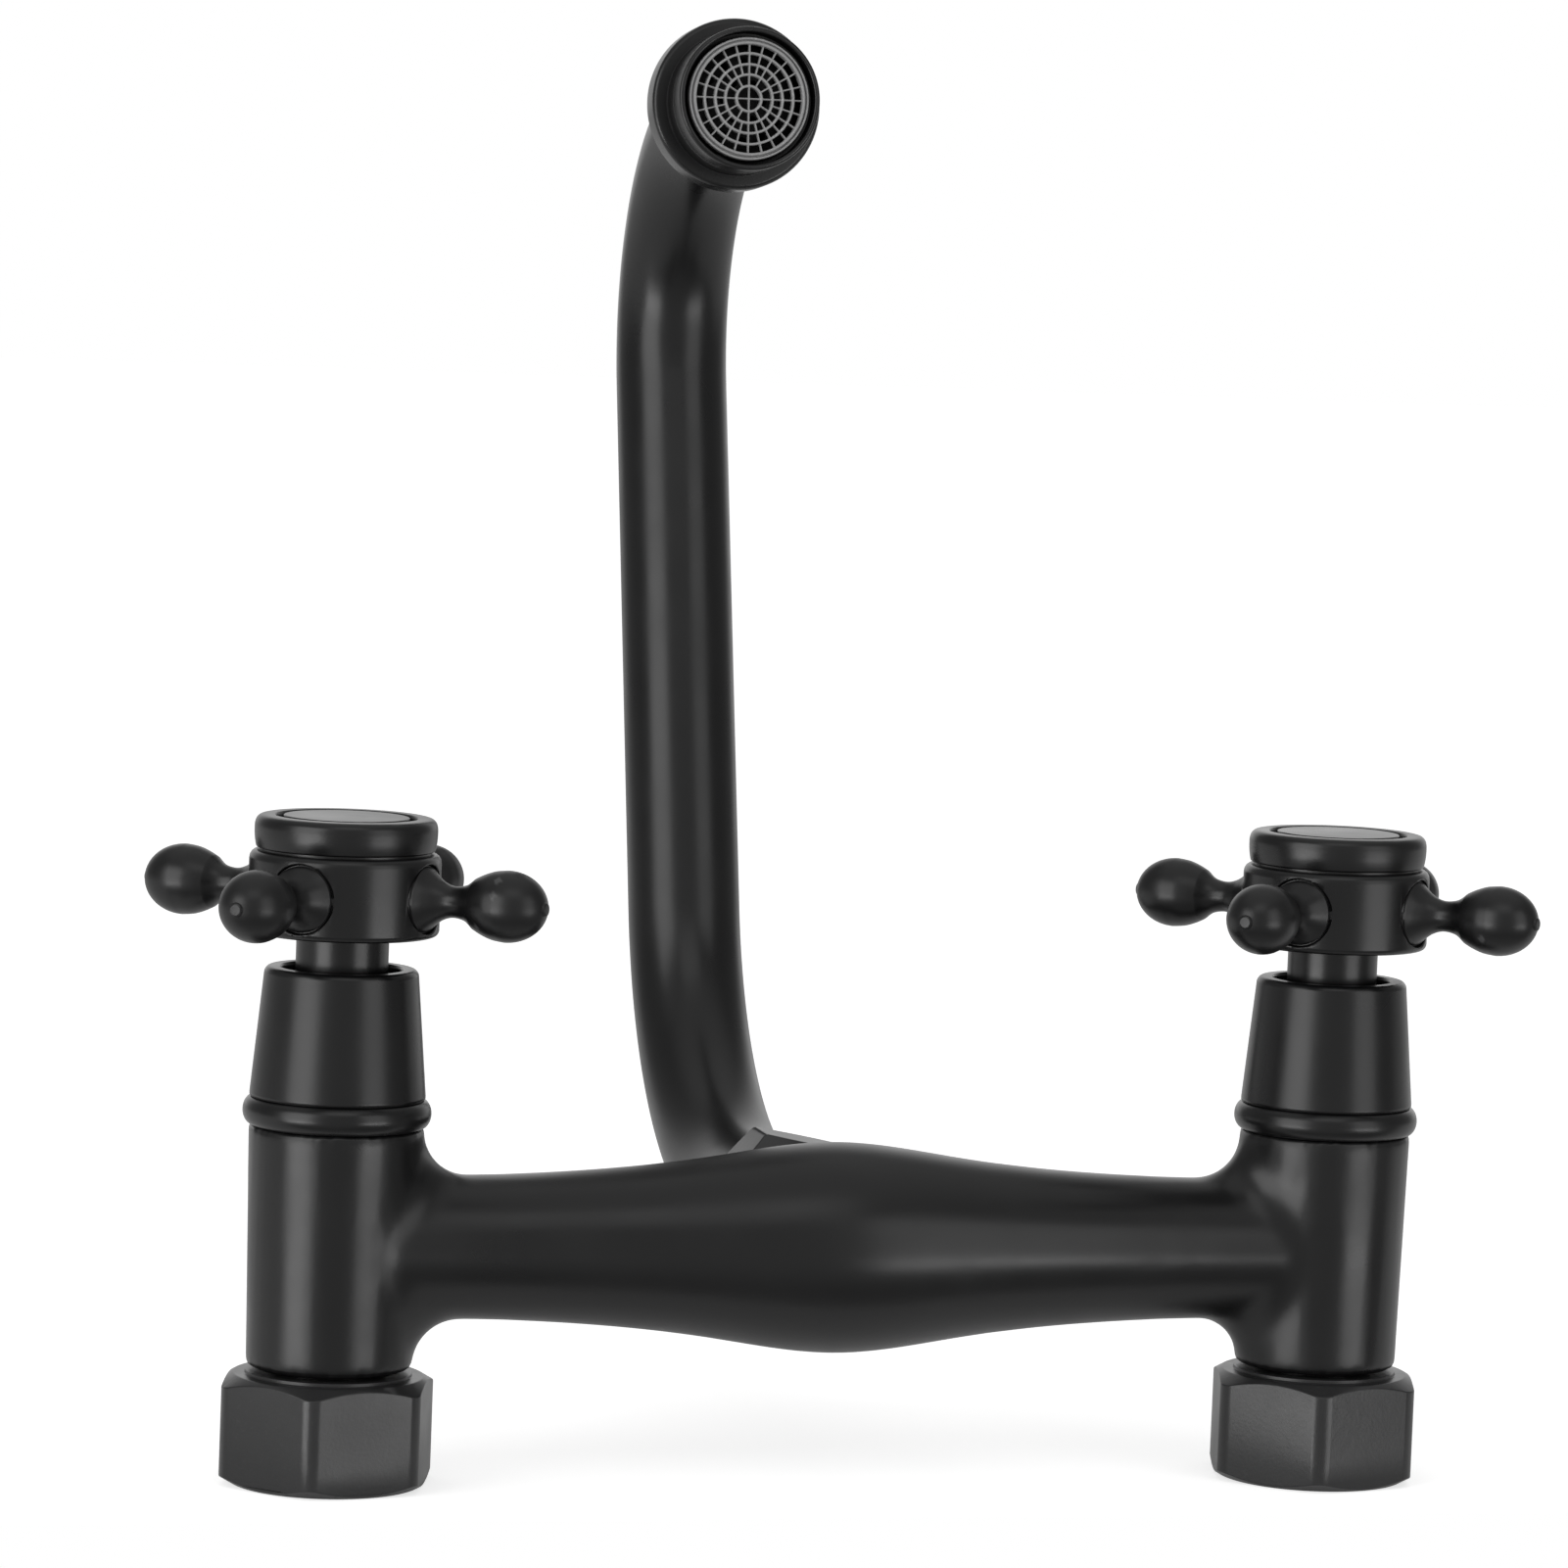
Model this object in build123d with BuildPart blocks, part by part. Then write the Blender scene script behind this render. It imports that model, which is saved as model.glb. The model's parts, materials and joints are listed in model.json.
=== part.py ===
from build123d import *
from math import asin, cos, degrees, radians, sin, tan
import os

# Wall mixer tap: two cross-handle valves joined by a swollen bridge, a swivelling
# swan-neck spout on top and a free-turning union nut behind each valve.
# Millimetres. X runs along the bridge, +Y points into the wall, +Z is up.
# The origin lies midway between the inlets, on the wall side faces of the nuts.
# Names ending in _out are distances from that plane towards the user, along -Y.

# Gaps
turning_gap = 0.4
fit_gap = 0.05

# Inlets and union nuts
inlet_spacing = 150.0
nut_flats = 29.0
nut_height = 15.9
nut_face_radius = 13.8
nut_corner_round = 3.0
nut_collar_radius = 12.1
nut_collar_height = 0.5
left_nut_turn = 12.0
right_nut_turn = 17.0
inlet_thread_radius = 12.06
inlet_thread_end = 7.5
nut_relief_radius = 12.6
nut_lip_out = 13.0
nut_lip_radius = 8.75

# Union tails and washers
washer_out = 7.6
washer_thickness = 2.4
washer_radius = 11.5
washer_bore_radius = 7.2
tail_flange_radius = 11.6
tail_flange_height = nut_lip_out - 0.3 - washer_out - washer_thickness
tail_radius = 8.4
tail_bore_radius = 5.8
tail_key_flats = 12.0
tail_key_depth = 4.0

# Cast body
body_end_out = nut_height + nut_collar_height + turning_gap
bridge_out = body_end_out + 17.6
column_top_out = bridge_out + 17.75
column_top_radius = 12.7
column_end_radius = 12.0
column_end_chamfer = 0.6
bridge_end_radius = 10.55
bridge_centre_radius = 15.5
bridge_blend = 7.0
waterway_radius = 6.5
seat_out = bridge_out - 8.5
tail_end_out = seat_out - 2.5
chamber_radius = 9.4
boss_radius = 11.6
boss_blend = 2.5
boss_thread_radius = 10.3
boss_shoulder_z = 24.6
boss_top_z = 31.2

# Valve inserts
seal_thickness = 2.5
seal_proud = 0.6
cage_radius = 8.9
cage_bore_radius = 7.9
cage_bore_end = bridge_out + 3.5
window_width = 9.5
insert_thread_radius = 10.4
insert_thread_out = bridge_out + 8.5
insert_seal_out = column_top_out - 1.9
insert_flange_radius = 11.3
insert_flats = 17.0
insert_hex_height = 3.2
insert_barrel_radius = 6.2
insert_top_out = bridge_out + 33.0
disc_thickness = 3.0
fixed_disc_radius = 7.8
moving_disc_radius = 7.6
port_span = 78.0
port_inner_radius = 1.8
port_outer_radius = 6.0
notch_width = 3.2
notch_depth = 1.3
spindle_radius = 5.0
spindle_foot_radius = 7.5
spindle_foot_height = 2.2
spindle_seal_groove = 4.2
spindle_seal_stations = [bridge_out + 8.5, bridge_out + 13.0]
clip_out = insert_top_out + 0.3
clip_thickness = 0.7
clip_groove_radius = 4.5
clip_radius = 6.1
spline_radius = 4.0
spline_root_radius = 3.6
spline_teeth = 20
spline_out = insert_top_out + 1.5
spline_end_out = bridge_out + 52.5
screw_thread_radius = 1.6
screw_depth = 10.0

# Trim rings and covers
ring_height = 4.1
ring_radius = 13.65
ring_waist_radius = 12.25
ring_ledge = 2.2
cover_base_out = column_top_out + ring_height
cover_top_out = cover_base_out + 18.85
cover_base_radius = 12.75
cover_top_radius = 11.15
cover_wall = 1.2
cover_mouth_radius = 8.65
cover_lip = 1.6
cover_web = 1.5

# Cross handles
hub_base_out = cover_top_out + 4.9
hub_top_out = hub_base_out + 11.9
hub_radius = 13.85
hub_shoulder = 1.3
hub_shoulder_inset = 1.05
hub_base_round = 0.9
hub_neck_radius = 6.7
hub_neck_out = spline_out + 0.3
hub_web_out = spline_end_out + 0.2
hub_web = 1.8
hub_recess_radius = 8.5
arm_out = hub_base_out + 5.9
left_arm_angle = 52.0
right_arm_angle = 48.0
arm_seat_reach = 12.9
arm_seat_radius = 4.75
arm_spigot_radius = 2.4
arm_spigot_length = 2.6
arm_neck_reach = 17.8
arm_neck_radius = 2.27
arm_crease_reach = 21.5
arm_crease_radius = 3.8
knob_reach = 26.2
knob_radius = 5.17
knob_nose = 6.1
pip_reach = 32.6
pip_radius = 1.0
pip_round = 0.25
cap_radius = 13.2
cap_top_out = hub_top_out + 5.1
cap_gap = 0.3
cap_spigot = 2.4
cap_recess_radius = 10.2
index_disc_radius = 9.1
index_disc_thickness = 1.0

# Spout
spout_nut_flats = 24.0
spout_nut_base_z = 25.0
spout_nut_top_z = 36.0
spout_nut_lip_z = 33.7
spout_nut_face_radius = 11.2
spout_nut_corner_round = 1.0
spout_nut_collar_radius = 10.6
spout_nut_turn = 10.7
tube_radius = 9.0
tube_wall = 1.0
tube_start_z = 13.5
socket_radius = 9.08
socket_floor_z = 12.0
slip_ring_thickness = 1.2
spout_seal_stations = [17.0, 21.0]
spout_seal_thickness = 1.1
spout_seal_groove_radius = 10.2
spout_seal_groove_height = 1.6
split_ring_z = 31.6
split_ring_thickness = 1.8
split_ring_groove = 0.5
split_ring_radius = 10.0
riser_top_z = 55.5
lower_bend_radius = 52.5
spout_rise_angle = 15.5
run_length = 87.25
upper_bend_radius = 35.5
outlet_tilt = 5.5
outlet_length = 17.3

# Outlet, measured back up the flow from the mouth
housing_radius = 11.35
housing_recess_radius = 10.5
housing_recess = 3.0
housing_bore_radius = 9.75
housing_seam = 4.5
housing_thread_radius = 10.35
housing_end = 6.6
flange_radius = 13.6
flange_front = 8.8
flange_back = 14.1
collar_radius = 10.4
collar_end = 17.1
collar_shoulder = 8.6
tube_end = 9.6
aerator_seal_bore = 8.2
grille_front = 0.3
grille_back = 1.9
grille_radius = 9.65
grille_rim_radius = 8.55
grille_step_radius = 9.12
grille_step = 0.3
grille_ring_radii = [2.0, 3.8, 5.42, 7.14]
grille_spokes = [4, 12, 24, 24, 24]
grille_bar = 0.4

os.makedirs("parts", exist_ok=True)


def save(piece, name):
    piece.part.label = name
    export_step(piece.part, f"parts/{name}.step")


def valve_plane(x):
    """Frame of a valve: its Z axis points out from the wall along the spindle."""
    return Plane((x, 0, 0), x_dir=(1, 0, 0), z_dir=(0, -1, 0))


def section(at):
    """Plane for the half-section of a turned piece: x is radius, y is distance along at's Z."""
    return Plane(at.origin, x_dir=at.x_dir, z_dir=-at.y_dir)


def turned(at, *corners):
    """A piece turned about the Z axis of a plane, from a closed outline of straight lines."""
    with BuildPart() as piece:
        with BuildSketch(section(at)):
            with BuildLine():
                Polyline(*corners, close=True)
            make_face()
        revolve(axis=Axis(at.origin, at.z_dir))
    return piece


def ring(at, bore, radius, start, end):
    return turned(at, (bore, start), (radius, start), (radius, end), (bore, end))


def seal_rings(at, radius, thickness, stations):
    """Rings of round section about the Z axis of a plane."""
    with BuildPart() as rings:
        with BuildSketch(section(at)):
            with Locations(*[(radius, station) for station in stations]):
                Circle(thickness / 2)
        revolve(axis=Axis(at.origin, at.z_dir))
    return rings


def hexagon_nut(at, flats, start, end, face_radius, corner_round, turn, collar, bore_outline):
    """A hexagon with rounded corners, turned down at 30 degrees at both ends, with a low collar."""
    collar_radius, collar_height = collar
    reach = 0.6 * flats
    drop = (reach - face_radius) * tan(radians(30))
    with BuildPart() as nut:
        with BuildSketch(at.offset(start)):
            RegularPolygon(flats / 2, 6, major_radius=False, rotation=turn)
        extrude(amount=end + collar_height - start)
        fillet(nut.edges().filter_by(Axis(at.origin, at.z_dir)), corner_round)
        with BuildSketch(section(at)):
            with BuildLine():
                Polyline(
                    (0, start),
                    (face_radius, start),
                    (reach, start + drop),
                    (reach, end - drop),
                    (face_radius, end),
                    (collar_radius, end),
                    (collar_radius, end + collar_height),
                    (0, end + collar_height),
                    close=True,
                )
            make_face()
        revolve(axis=Axis(at.origin, at.z_dir), mode=Mode.INTERSECT)
        with BuildSketch(section(at)):
            with BuildLine():
                Polyline(*bore_outline, close=True)
            make_face()
        revolve(axis=Axis(at.origin, at.z_dir), mode=Mode.SUBTRACT)
    return nut


# Cast body
def cast_body():
    bridge = Plane((0, -bridge_out, 0))
    half = inlet_spacing / 2
    valves = [valve_plane(-half), valve_plane(half)]
    overrun = 3.0
    taper = overrun * (column_top_radius - column_end_radius) / (column_top_out - body_end_out)
    with BuildPart() as body:
        # valve columns, drawn long so that the blends run out past their ends
        for at in valves:
            with BuildSketch(section(at)):
                with BuildLine():
                    Polyline(
                        (0, body_end_out - overrun),
                        (column_end_radius - taper, body_end_out - overrun),
                        (column_top_radius + taper, column_top_out + overrun),
                        (0, column_top_out + overrun),
                        close=True,
                    )
                make_face()
            revolve(axis=Axis(at.origin, at.z_dir))
        # bridge bar, swollen at its centre
        with BuildSketch(bridge):
            with BuildLine():
                Spline(
                    (-half, bridge_end_radius),
                    (-52.0, bridge_end_radius),
                    (-39.0, 11.15),
                    (-19.0, 13.25),
                    (0, bridge_centre_radius),
                    (19.0, 13.25),
                    (39.0, 11.15),
                    (52.0, bridge_end_radius),
                    (half, bridge_end_radius),
                    tangents=((1, 0), (1, 0)),
                )
                Polyline(
                    (half, bridge_end_radius), (half, 0), (-half, 0), (-half, bridge_end_radius)
                )
            make_face()
        revolve(axis=Axis(bridge.origin, (1, 0, 0)))
        # spout boss with its threaded top
        with BuildSketch(bridge):
            Circle(boss_radius)
        extrude(amount=boss_shoulder_z)
        boss_root = body.edges().filter_by(
            lambda edge: edge.geom_type == GeomType.BSPLINE
            and abs(edge.center().X) < boss_radius
            and edge.center().Z > bridge_end_radius / 2
        )
        fillet(boss_root, boss_blend)
        # blends between the bridge and the columns
        junctions = body.edges().filter_by(
            lambda edge: edge.geom_type == GeomType.BSPLINE
            and half - column_top_radius - 1 < abs(edge.center().X) < half
        )
        fillet(junctions, bridge_blend)
        with BuildSketch(bridge.offset(boss_shoulder_z)):
            Circle(boss_thread_radius)
        extrude(amount=boss_top_z - boss_shoulder_z)
        chamfer(body.edges().filter_by(GeomType.CIRCLE).sort_by(Axis.Z)[-1], 0.6)
        # ends of the columns: chamfered towards the nuts, flat under the trim rings
        chamfer_out = body_end_out + 1.5 * column_end_chamfer
        for at in valves:
            with BuildSketch(section(at)):
                with BuildLine():
                    Polyline(
                        (0, body_end_out),
                        (column_end_radius - column_end_chamfer, body_end_out),
                        (column_end_radius + column_end_chamfer / 2, chamfer_out),
                        (2 * column_end_radius, chamfer_out),
                        (2 * column_end_radius, 0),
                        (0, 0),
                        close=True,
                    )
                make_face()
            revolve(axis=Axis(at.origin, at.z_dir), mode=Mode.SUBTRACT)
        with Locations((0, -column_top_out - overrun, 0)):
            Box(3 * half, 2 * overrun, 4 * column_top_radius, mode=Mode.SUBTRACT)
        # tail socket, seat, insert chamber and insert thread of each column
        for at in valves:
            with BuildSketch(section(at)):
                with BuildLine():
                    Polyline(
                        (0, 0),
                        (tail_radius + fit_gap, 0),
                        (tail_radius + fit_gap, tail_end_out),
                        (waterway_radius, tail_end_out),
                        (waterway_radius, seat_out),
                        (chamber_radius, seat_out),
                        (chamber_radius, insert_thread_out),
                        (insert_thread_radius + fit_gap, insert_thread_out),
                        (insert_thread_radius + fit_gap, column_top_out + 1),
                        (0, column_top_out + 1),
                        close=True,
                    )
                make_face()
            revolve(axis=Axis(at.origin, at.z_dir), mode=Mode.SUBTRACT)
        # cross waterway
        with BuildSketch(Plane(bridge.origin, z_dir=(1, 0, 0))):
            Circle(waterway_radius)
        extrude(amount=half, both=True, mode=Mode.SUBTRACT)
        # spout socket with its seal grooves
        with BuildSketch(section(bridge)):
            with BuildLine():
                Polyline(
                    (0, 0),
                    (tube_radius - tube_wall, 0),
                    (tube_radius - tube_wall, socket_floor_z),
                    (socket_radius, socket_floor_z),
                    (socket_radius, boss_top_z + 1),
                    (0, boss_top_z + 1),
                    close=True,
                )
            make_face()
            with Locations(*[(spout_seal_groove_radius / 2, z) for z in spout_seal_stations]):
                Rectangle(spout_seal_groove_radius, spout_seal_groove_height)
        revolve(axis=Axis(bridge.origin, bridge.z_dir), mode=Mode.SUBTRACT)
    return body


# Inlet union of one valve
def union_nut(at, turn):
    bore_outline = [
        (0, -1),
        (inlet_thread_radius + 1.4, -1),
        (inlet_thread_radius, 0.4),
        (inlet_thread_radius, inlet_thread_end),
        (nut_relief_radius, inlet_thread_end),
        (nut_relief_radius, nut_lip_out),
        (nut_lip_radius, nut_lip_out),
        (nut_lip_radius, nut_height + 2 * nut_collar_height),
        (0, nut_height + 2 * nut_collar_height),
    ]
    return hexagon_nut(
        at,
        nut_flats,
        0,
        nut_height,
        nut_face_radius,
        nut_corner_round,
        turn,
        (nut_collar_radius, nut_collar_height),
        bore_outline,
    )


def union_tail(at):
    flange_start = washer_out + washer_thickness
    with BuildPart() as tail:
        with BuildSketch(section(at)):
            with BuildLine():
                Polyline(
                    (tail_bore_radius, flange_start),
                    (tail_flange_radius, flange_start),
                    (tail_flange_radius, flange_start + tail_flange_height),
                    (tail_radius, flange_start + tail_flange_height),
                    (tail_radius, tail_end_out - 0.6),
                    (tail_radius - 0.5, tail_end_out - 0.1),
                    (tail_bore_radius, tail_end_out - 0.1),
                    close=True,
                )
            make_face()
        revolve(axis=Axis(at.origin, at.z_dir))
        # hexagon for the key that tightens it
        with BuildSketch(at.offset(flange_start)):
            RegularPolygon(tail_key_flats / 2, 6, major_radius=False)
        extrude(amount=tail_key_depth, mode=Mode.SUBTRACT)
    return tail


def union_washer(at):
    return ring(at, washer_bore_radius, washer_radius, washer_out, washer_out + washer_thickness)


# Valve insert
def insert_body(at):
    flange_out = column_top_out + ring_ledge
    groove_half = 1.0
    groove_floor = insert_thread_radius - 1.1
    with BuildPart() as insert:
        with BuildSketch(section(at)):
            with BuildLine():
                Polyline(
                    (cage_bore_radius, seat_out + seal_proud),
                    (cage_radius, seat_out + seal_proud),
                    (cage_radius, insert_thread_out),
                    (insert_thread_radius, insert_thread_out + 0.8),
                    (insert_thread_radius, insert_seal_out - groove_half),
                    (groove_floor, insert_seal_out - groove_half),
                    (groove_floor, insert_seal_out + groove_half),
                    (insert_thread_radius, insert_seal_out + groove_half),
                    (insert_thread_radius, flange_out),
                    (insert_flange_radius, flange_out),
                    (insert_flange_radius, cover_base_out),
                    (insert_barrel_radius, cover_base_out),
                    (insert_barrel_radius, insert_top_out - 0.5),
                    (insert_barrel_radius - 0.5, insert_top_out),
                    (spindle_radius + fit_gap, insert_top_out),
                    (spindle_radius + fit_gap, cage_bore_end),
                    (cage_bore_radius, cage_bore_end),
                    close=True,
                )
            make_face()
        revolve(axis=Axis(at.origin, at.z_dir))
        # spanner hexagon above the flange
        with BuildSketch(at.offset(cover_base_out)):
            RegularPolygon(insert_flats / 2, 6, major_radius=False)
            Circle(insert_barrel_radius - 0.2, mode=Mode.SUBTRACT)
        extrude(amount=insert_hex_height)
        # outlet windows through the cage, beside the moving disc
        window_out = seat_out + seal_thickness + disc_thickness + fit_gap
        with BuildSketch(at.offset(window_out)):
            Rectangle(3 * cage_radius, window_width)
        extrude(amount=cage_bore_end - window_out, mode=Mode.SUBTRACT)
    return insert


def insert_seal(at):
    thickness = 1.0
    return seal_rings(
        at, insert_thread_radius - thickness / 2, thickness, [insert_seal_out]
    )


def seat_seal(at):
    """Rubber seal between the seat of the body and the fixed disc, with a bead at each end."""
    radius = cage_bore_radius - fit_gap
    end_out = seat_out + seal_thickness
    return turned(
        at,
        (5.4, seat_out + 0.4),
        (5.9, seat_out),
        (radius, seat_out),
        (radius, end_out),
        (5.9, end_out),
        (5.4, end_out - 0.4),
    )


def ported_disc(at, radius, start, first_port_angle, notched=False):
    """A ceramic disc with two opposite sector ports, and notches for the dogs of the spindle."""
    with BuildPart() as disc:
        with BuildSketch(at.offset(start)):
            Circle(radius)
            for middle in (first_port_angle, first_port_angle + 180):
                with BuildLine():
                    inner = CenterArc((0, 0), port_inner_radius, middle - port_span / 2, port_span)
                    outer = CenterArc((0, 0), port_outer_radius, middle - port_span / 2, port_span)
                    Line(inner @ 0, outer @ 0)
                    Line(inner @ 1, outer @ 1)
                make_face(mode=Mode.SUBTRACT)
        extrude(amount=disc_thickness)
        if notched:
            with BuildSketch(at.offset(start + disc_thickness / 2)):
                with Locations((-radius, 0), (radius, 0)):
                    Rectangle(2 * notch_depth, notch_width)
            extrude(amount=disc_thickness, mode=Mode.SUBTRACT)
    return disc


def fixed_disc(at):
    return ported_disc(at, fixed_disc_radius, seat_out + seal_thickness, 0)


def moving_disc(at):
    """Shut at rest: its ports stand a quarter turn from those of the fixed disc."""
    start = seat_out + seal_thickness + disc_thickness + fit_gap
    return ported_disc(at, moving_disc_radius, start, 90, notched=True)


def spindle(at):
    foot_out = seat_out + seal_thickness + 2 * disc_thickness + 2 * fit_gap
    groove_half = 0.6
    with BuildPart() as piece:
        with BuildSketch(section(at)):
            with BuildLine():
                Polyline(
                    (0, foot_out),
                    (spindle_foot_radius, foot_out),
                    (spindle_foot_radius, foot_out + spindle_foot_height),
                    (spindle_radius, foot_out + spindle_foot_height),
                    (spindle_radius, clip_out),
                    (clip_groove_radius, clip_out),
                    (clip_groove_radius, clip_out + clip_thickness),
                    (spindle_radius, clip_out + clip_thickness),
                    (spindle_radius, spline_out),
                    (spline_root_radius, spline_out),
                    (spline_root_radius, spline_end_out),
                    (0, spline_end_out),
                    close=True,
                )
            make_face()
            # seal grooves
            with Locations(*[(spindle_radius, station) for station in spindle_seal_stations]):
                Rectangle(
                    2 * (spindle_radius - spindle_seal_groove), 2 * groove_half, mode=Mode.SUBTRACT
                )
        revolve(axis=Axis(at.origin, at.z_dir))
        # dogs that turn the moving disc
        with BuildSketch(at.offset(foot_out)):
            Circle(spindle_foot_radius)
            Rectangle(2 * spindle_foot_radius, notch_width - 0.2, mode=Mode.INTERSECT)
            Circle(moving_disc_radius - notch_depth + 0.3, mode=Mode.SUBTRACT)
        extrude(amount=-disc_thickness / 2 + 2 * fit_gap)
        # spline
        with BuildSketch(at.offset(spline_out)):
            with PolarLocations(spline_root_radius, spline_teeth):
                Rectangle(2 * (spline_radius - spline_root_radius), 0.6)
        extrude(amount=spline_end_out - spline_out)
        # screw thread
        with Locations(at.offset(spline_end_out)):
            Hole(screw_thread_radius + fit_gap, screw_depth + 1)
    return piece


def spindle_seals(at):
    thickness = spindle_radius - spindle_seal_groove
    return seal_rings(at, spindle_seal_groove + thickness / 2, thickness, spindle_seal_stations)


def spindle_clip(at):
    """Spring clip in the groove of the spindle, open on one side."""
    with BuildPart() as clip:
        with BuildSketch(at.offset(clip_out)):
            Circle(clip_radius)
            Circle(clip_groove_radius + fit_gap, mode=Mode.SUBTRACT)
            with Locations((clip_radius, 0)):
                Rectangle(clip_radius, clip_groove_radius, mode=Mode.SUBTRACT)
        extrude(amount=clip_thickness)
    return clip


# Trim ring and cover
def trim_ring(at):
    middle = column_top_out + ring_height / 2
    with BuildPart() as bead:
        with BuildSketch(section(at)):
            with BuildLine():
                ThreePointArc(
                    (ring_waist_radius, column_top_out),
                    (ring_radius, middle),
                    (ring_waist_radius, cover_base_out),
                )
                Polyline(
                    (ring_waist_radius, cover_base_out),
                    (insert_flange_radius + 0.2, cover_base_out),
                    (insert_flange_radius + 0.2, column_top_out + ring_ledge),
                    (insert_thread_radius + 0.1, column_top_out + ring_ledge),
                    (insert_thread_radius + 0.1, column_top_out),
                    (ring_waist_radius, column_top_out),
                )
            make_face()
        revolve(axis=Axis(at.origin, at.z_dir))
    return bead


def cover(at):
    """Tapered sleeve over the insert, carried by an inner web on the spanner hexagon."""
    web_out = cover_base_out + insert_hex_height + 0.1
    lip_out = cover_top_out - cover_lip
    inner_top_radius = cover_top_radius - cover_wall
    with BuildPart() as sleeve:
        with BuildSketch(section(at)):
            with BuildLine():
                Polyline(
                    (insert_flange_radius + 0.2, cover_base_out),
                    (cover_base_radius - 0.15, cover_base_out),
                    (cover_base_radius, cover_base_out + 0.3),
                    (cover_top_radius, cover_top_out - 0.5),
                    (cover_top_radius - 0.4, cover_top_out),
                    (cover_mouth_radius + 0.2, cover_top_out),
                    (cover_mouth_radius, cover_top_out - 0.2),
                    (cover_mouth_radius, lip_out),
                    (inner_top_radius, lip_out),
                    (insert_flange_radius - 0.1, web_out + cover_web),
                    (insert_barrel_radius + 0.1, web_out + cover_web),
                    (insert_barrel_radius + 0.1, web_out),
                    (insert_flange_radius + 0.1, web_out),
                    close=True,
                )
            make_face()
        revolve(axis=Axis(at.origin, at.z_dir))
    return sleeve


# Cross handle
def arm_planes(at, first_angle):
    """Frames of the four arms: X along the arm, Y out from the wall."""
    centre = at.origin + at.z_dir * arm_out
    planes = []
    for quarter in range(4):
        angle = radians(first_angle + 90 * quarter)
        along = at.x_dir * cos(angle) + at.y_dir * sin(angle)
        planes.append(Plane(centre, x_dir=along, z_dir=along.cross(at.z_dir)))
    return planes


def handle_hub(at, first_angle):
    shoulder_out = hub_top_out - hub_shoulder
    recess_floor = hub_web_out + hub_web
    with BuildPart() as hub:
        with BuildSketch(section(at)):
            with BuildLine():
                Polyline(
                    (spline_radius + fit_gap, hub_neck_out),
                    (hub_neck_radius - 0.4, hub_neck_out),
                    (hub_neck_radius, hub_neck_out + 0.4),
                    (hub_neck_radius, hub_base_out),
                    (hub_radius - hub_base_round, hub_base_out),
                )
                RadiusArc(
                    (hub_radius - hub_base_round, hub_base_out),
                    (hub_radius, hub_base_out + hub_base_round),
                    -hub_base_round,
                )
                Line((hub_radius, hub_base_out + hub_base_round), (hub_radius, shoulder_out))
                ThreePointArc(
                    (hub_radius, shoulder_out),
                    (hub_radius - 0.3 * hub_shoulder_inset, hub_top_out - 0.3 * hub_shoulder),
                    (hub_radius - hub_shoulder_inset, hub_top_out),
                )
                Polyline(
                    (hub_radius - hub_shoulder_inset, hub_top_out),
                    (hub_recess_radius, hub_top_out),
                    (hub_recess_radius, recess_floor),
                    (screw_thread_radius + 0.6, recess_floor),
                    (screw_thread_radius + 0.6, hub_web_out),
                    (spline_radius + fit_gap, hub_web_out),
                    (spline_radius + fit_gap, hub_neck_out),
                )
            make_face()
        revolve(axis=Axis(at.origin, at.z_dir))
        # spot faces and holes for the arms
        for arm in arm_planes(at, first_angle):
            outward = Plane(arm.origin, z_dir=arm.x_dir)
            with BuildSketch(outward.offset(arm_seat_reach)):
                Circle(arm_seat_radius + 0.3)
            extrude(amount=hub_radius, mode=Mode.SUBTRACT)
            with BuildSketch(outward.offset(arm_seat_reach - arm_spigot_length - 0.1)):
                Circle(arm_spigot_radius + fit_gap)
            extrude(amount=hub_radius, mode=Mode.SUBTRACT)
    return hub


def handle_arms(at, first_angle):
    """Four turned arms: a trumpet foot, a thin neck and an egg-shaped knob with a small pip."""
    seat = arm_seat_reach
    spigot = seat - arm_spigot_length
    nose_start = degrees(asin(pip_radius / knob_radius))
    with BuildPart() as arms:
        for arm in arm_planes(at, first_angle):
            with BuildSketch(arm):
                with BuildLine():
                    Polyline(
                        (pip_reach - pip_round, pip_radius),
                        (pip_reach, pip_radius - pip_round),
                        (pip_reach, 0),
                        (spigot, 0),
                        (spigot, arm_spigot_radius),
                        (seat, arm_spigot_radius),
                        (seat, arm_seat_radius),
                        (seat + 0.5, arm_seat_radius),
                    )
                    Spline(
                        (seat + 0.5, arm_seat_radius),
                        (seat + 1.6, 3.75),
                        (arm_neck_reach, arm_neck_radius),
                        (arm_crease_reach, arm_crease_radius),
                        tangents=((1, -0.3), (1, 1.1)),
                    )
                    Spline(
                        (arm_crease_reach, arm_crease_radius),
                        (knob_reach, knob_radius),
                        tangents=((1, 0.53), (1, 0)),
                    )
                    nose = EllipticalCenterArc(
                        (knob_reach, 0),
                        knob_nose,
                        knob_radius,
                        start_angle=nose_start,
                        arc_size=90 - nose_start,
                    )
                    Line(nose @ 0, (pip_reach - pip_round, pip_radius))
                make_face()
            revolve(axis=Axis(arm.origin, arm.x_dir))
    return arms


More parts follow.
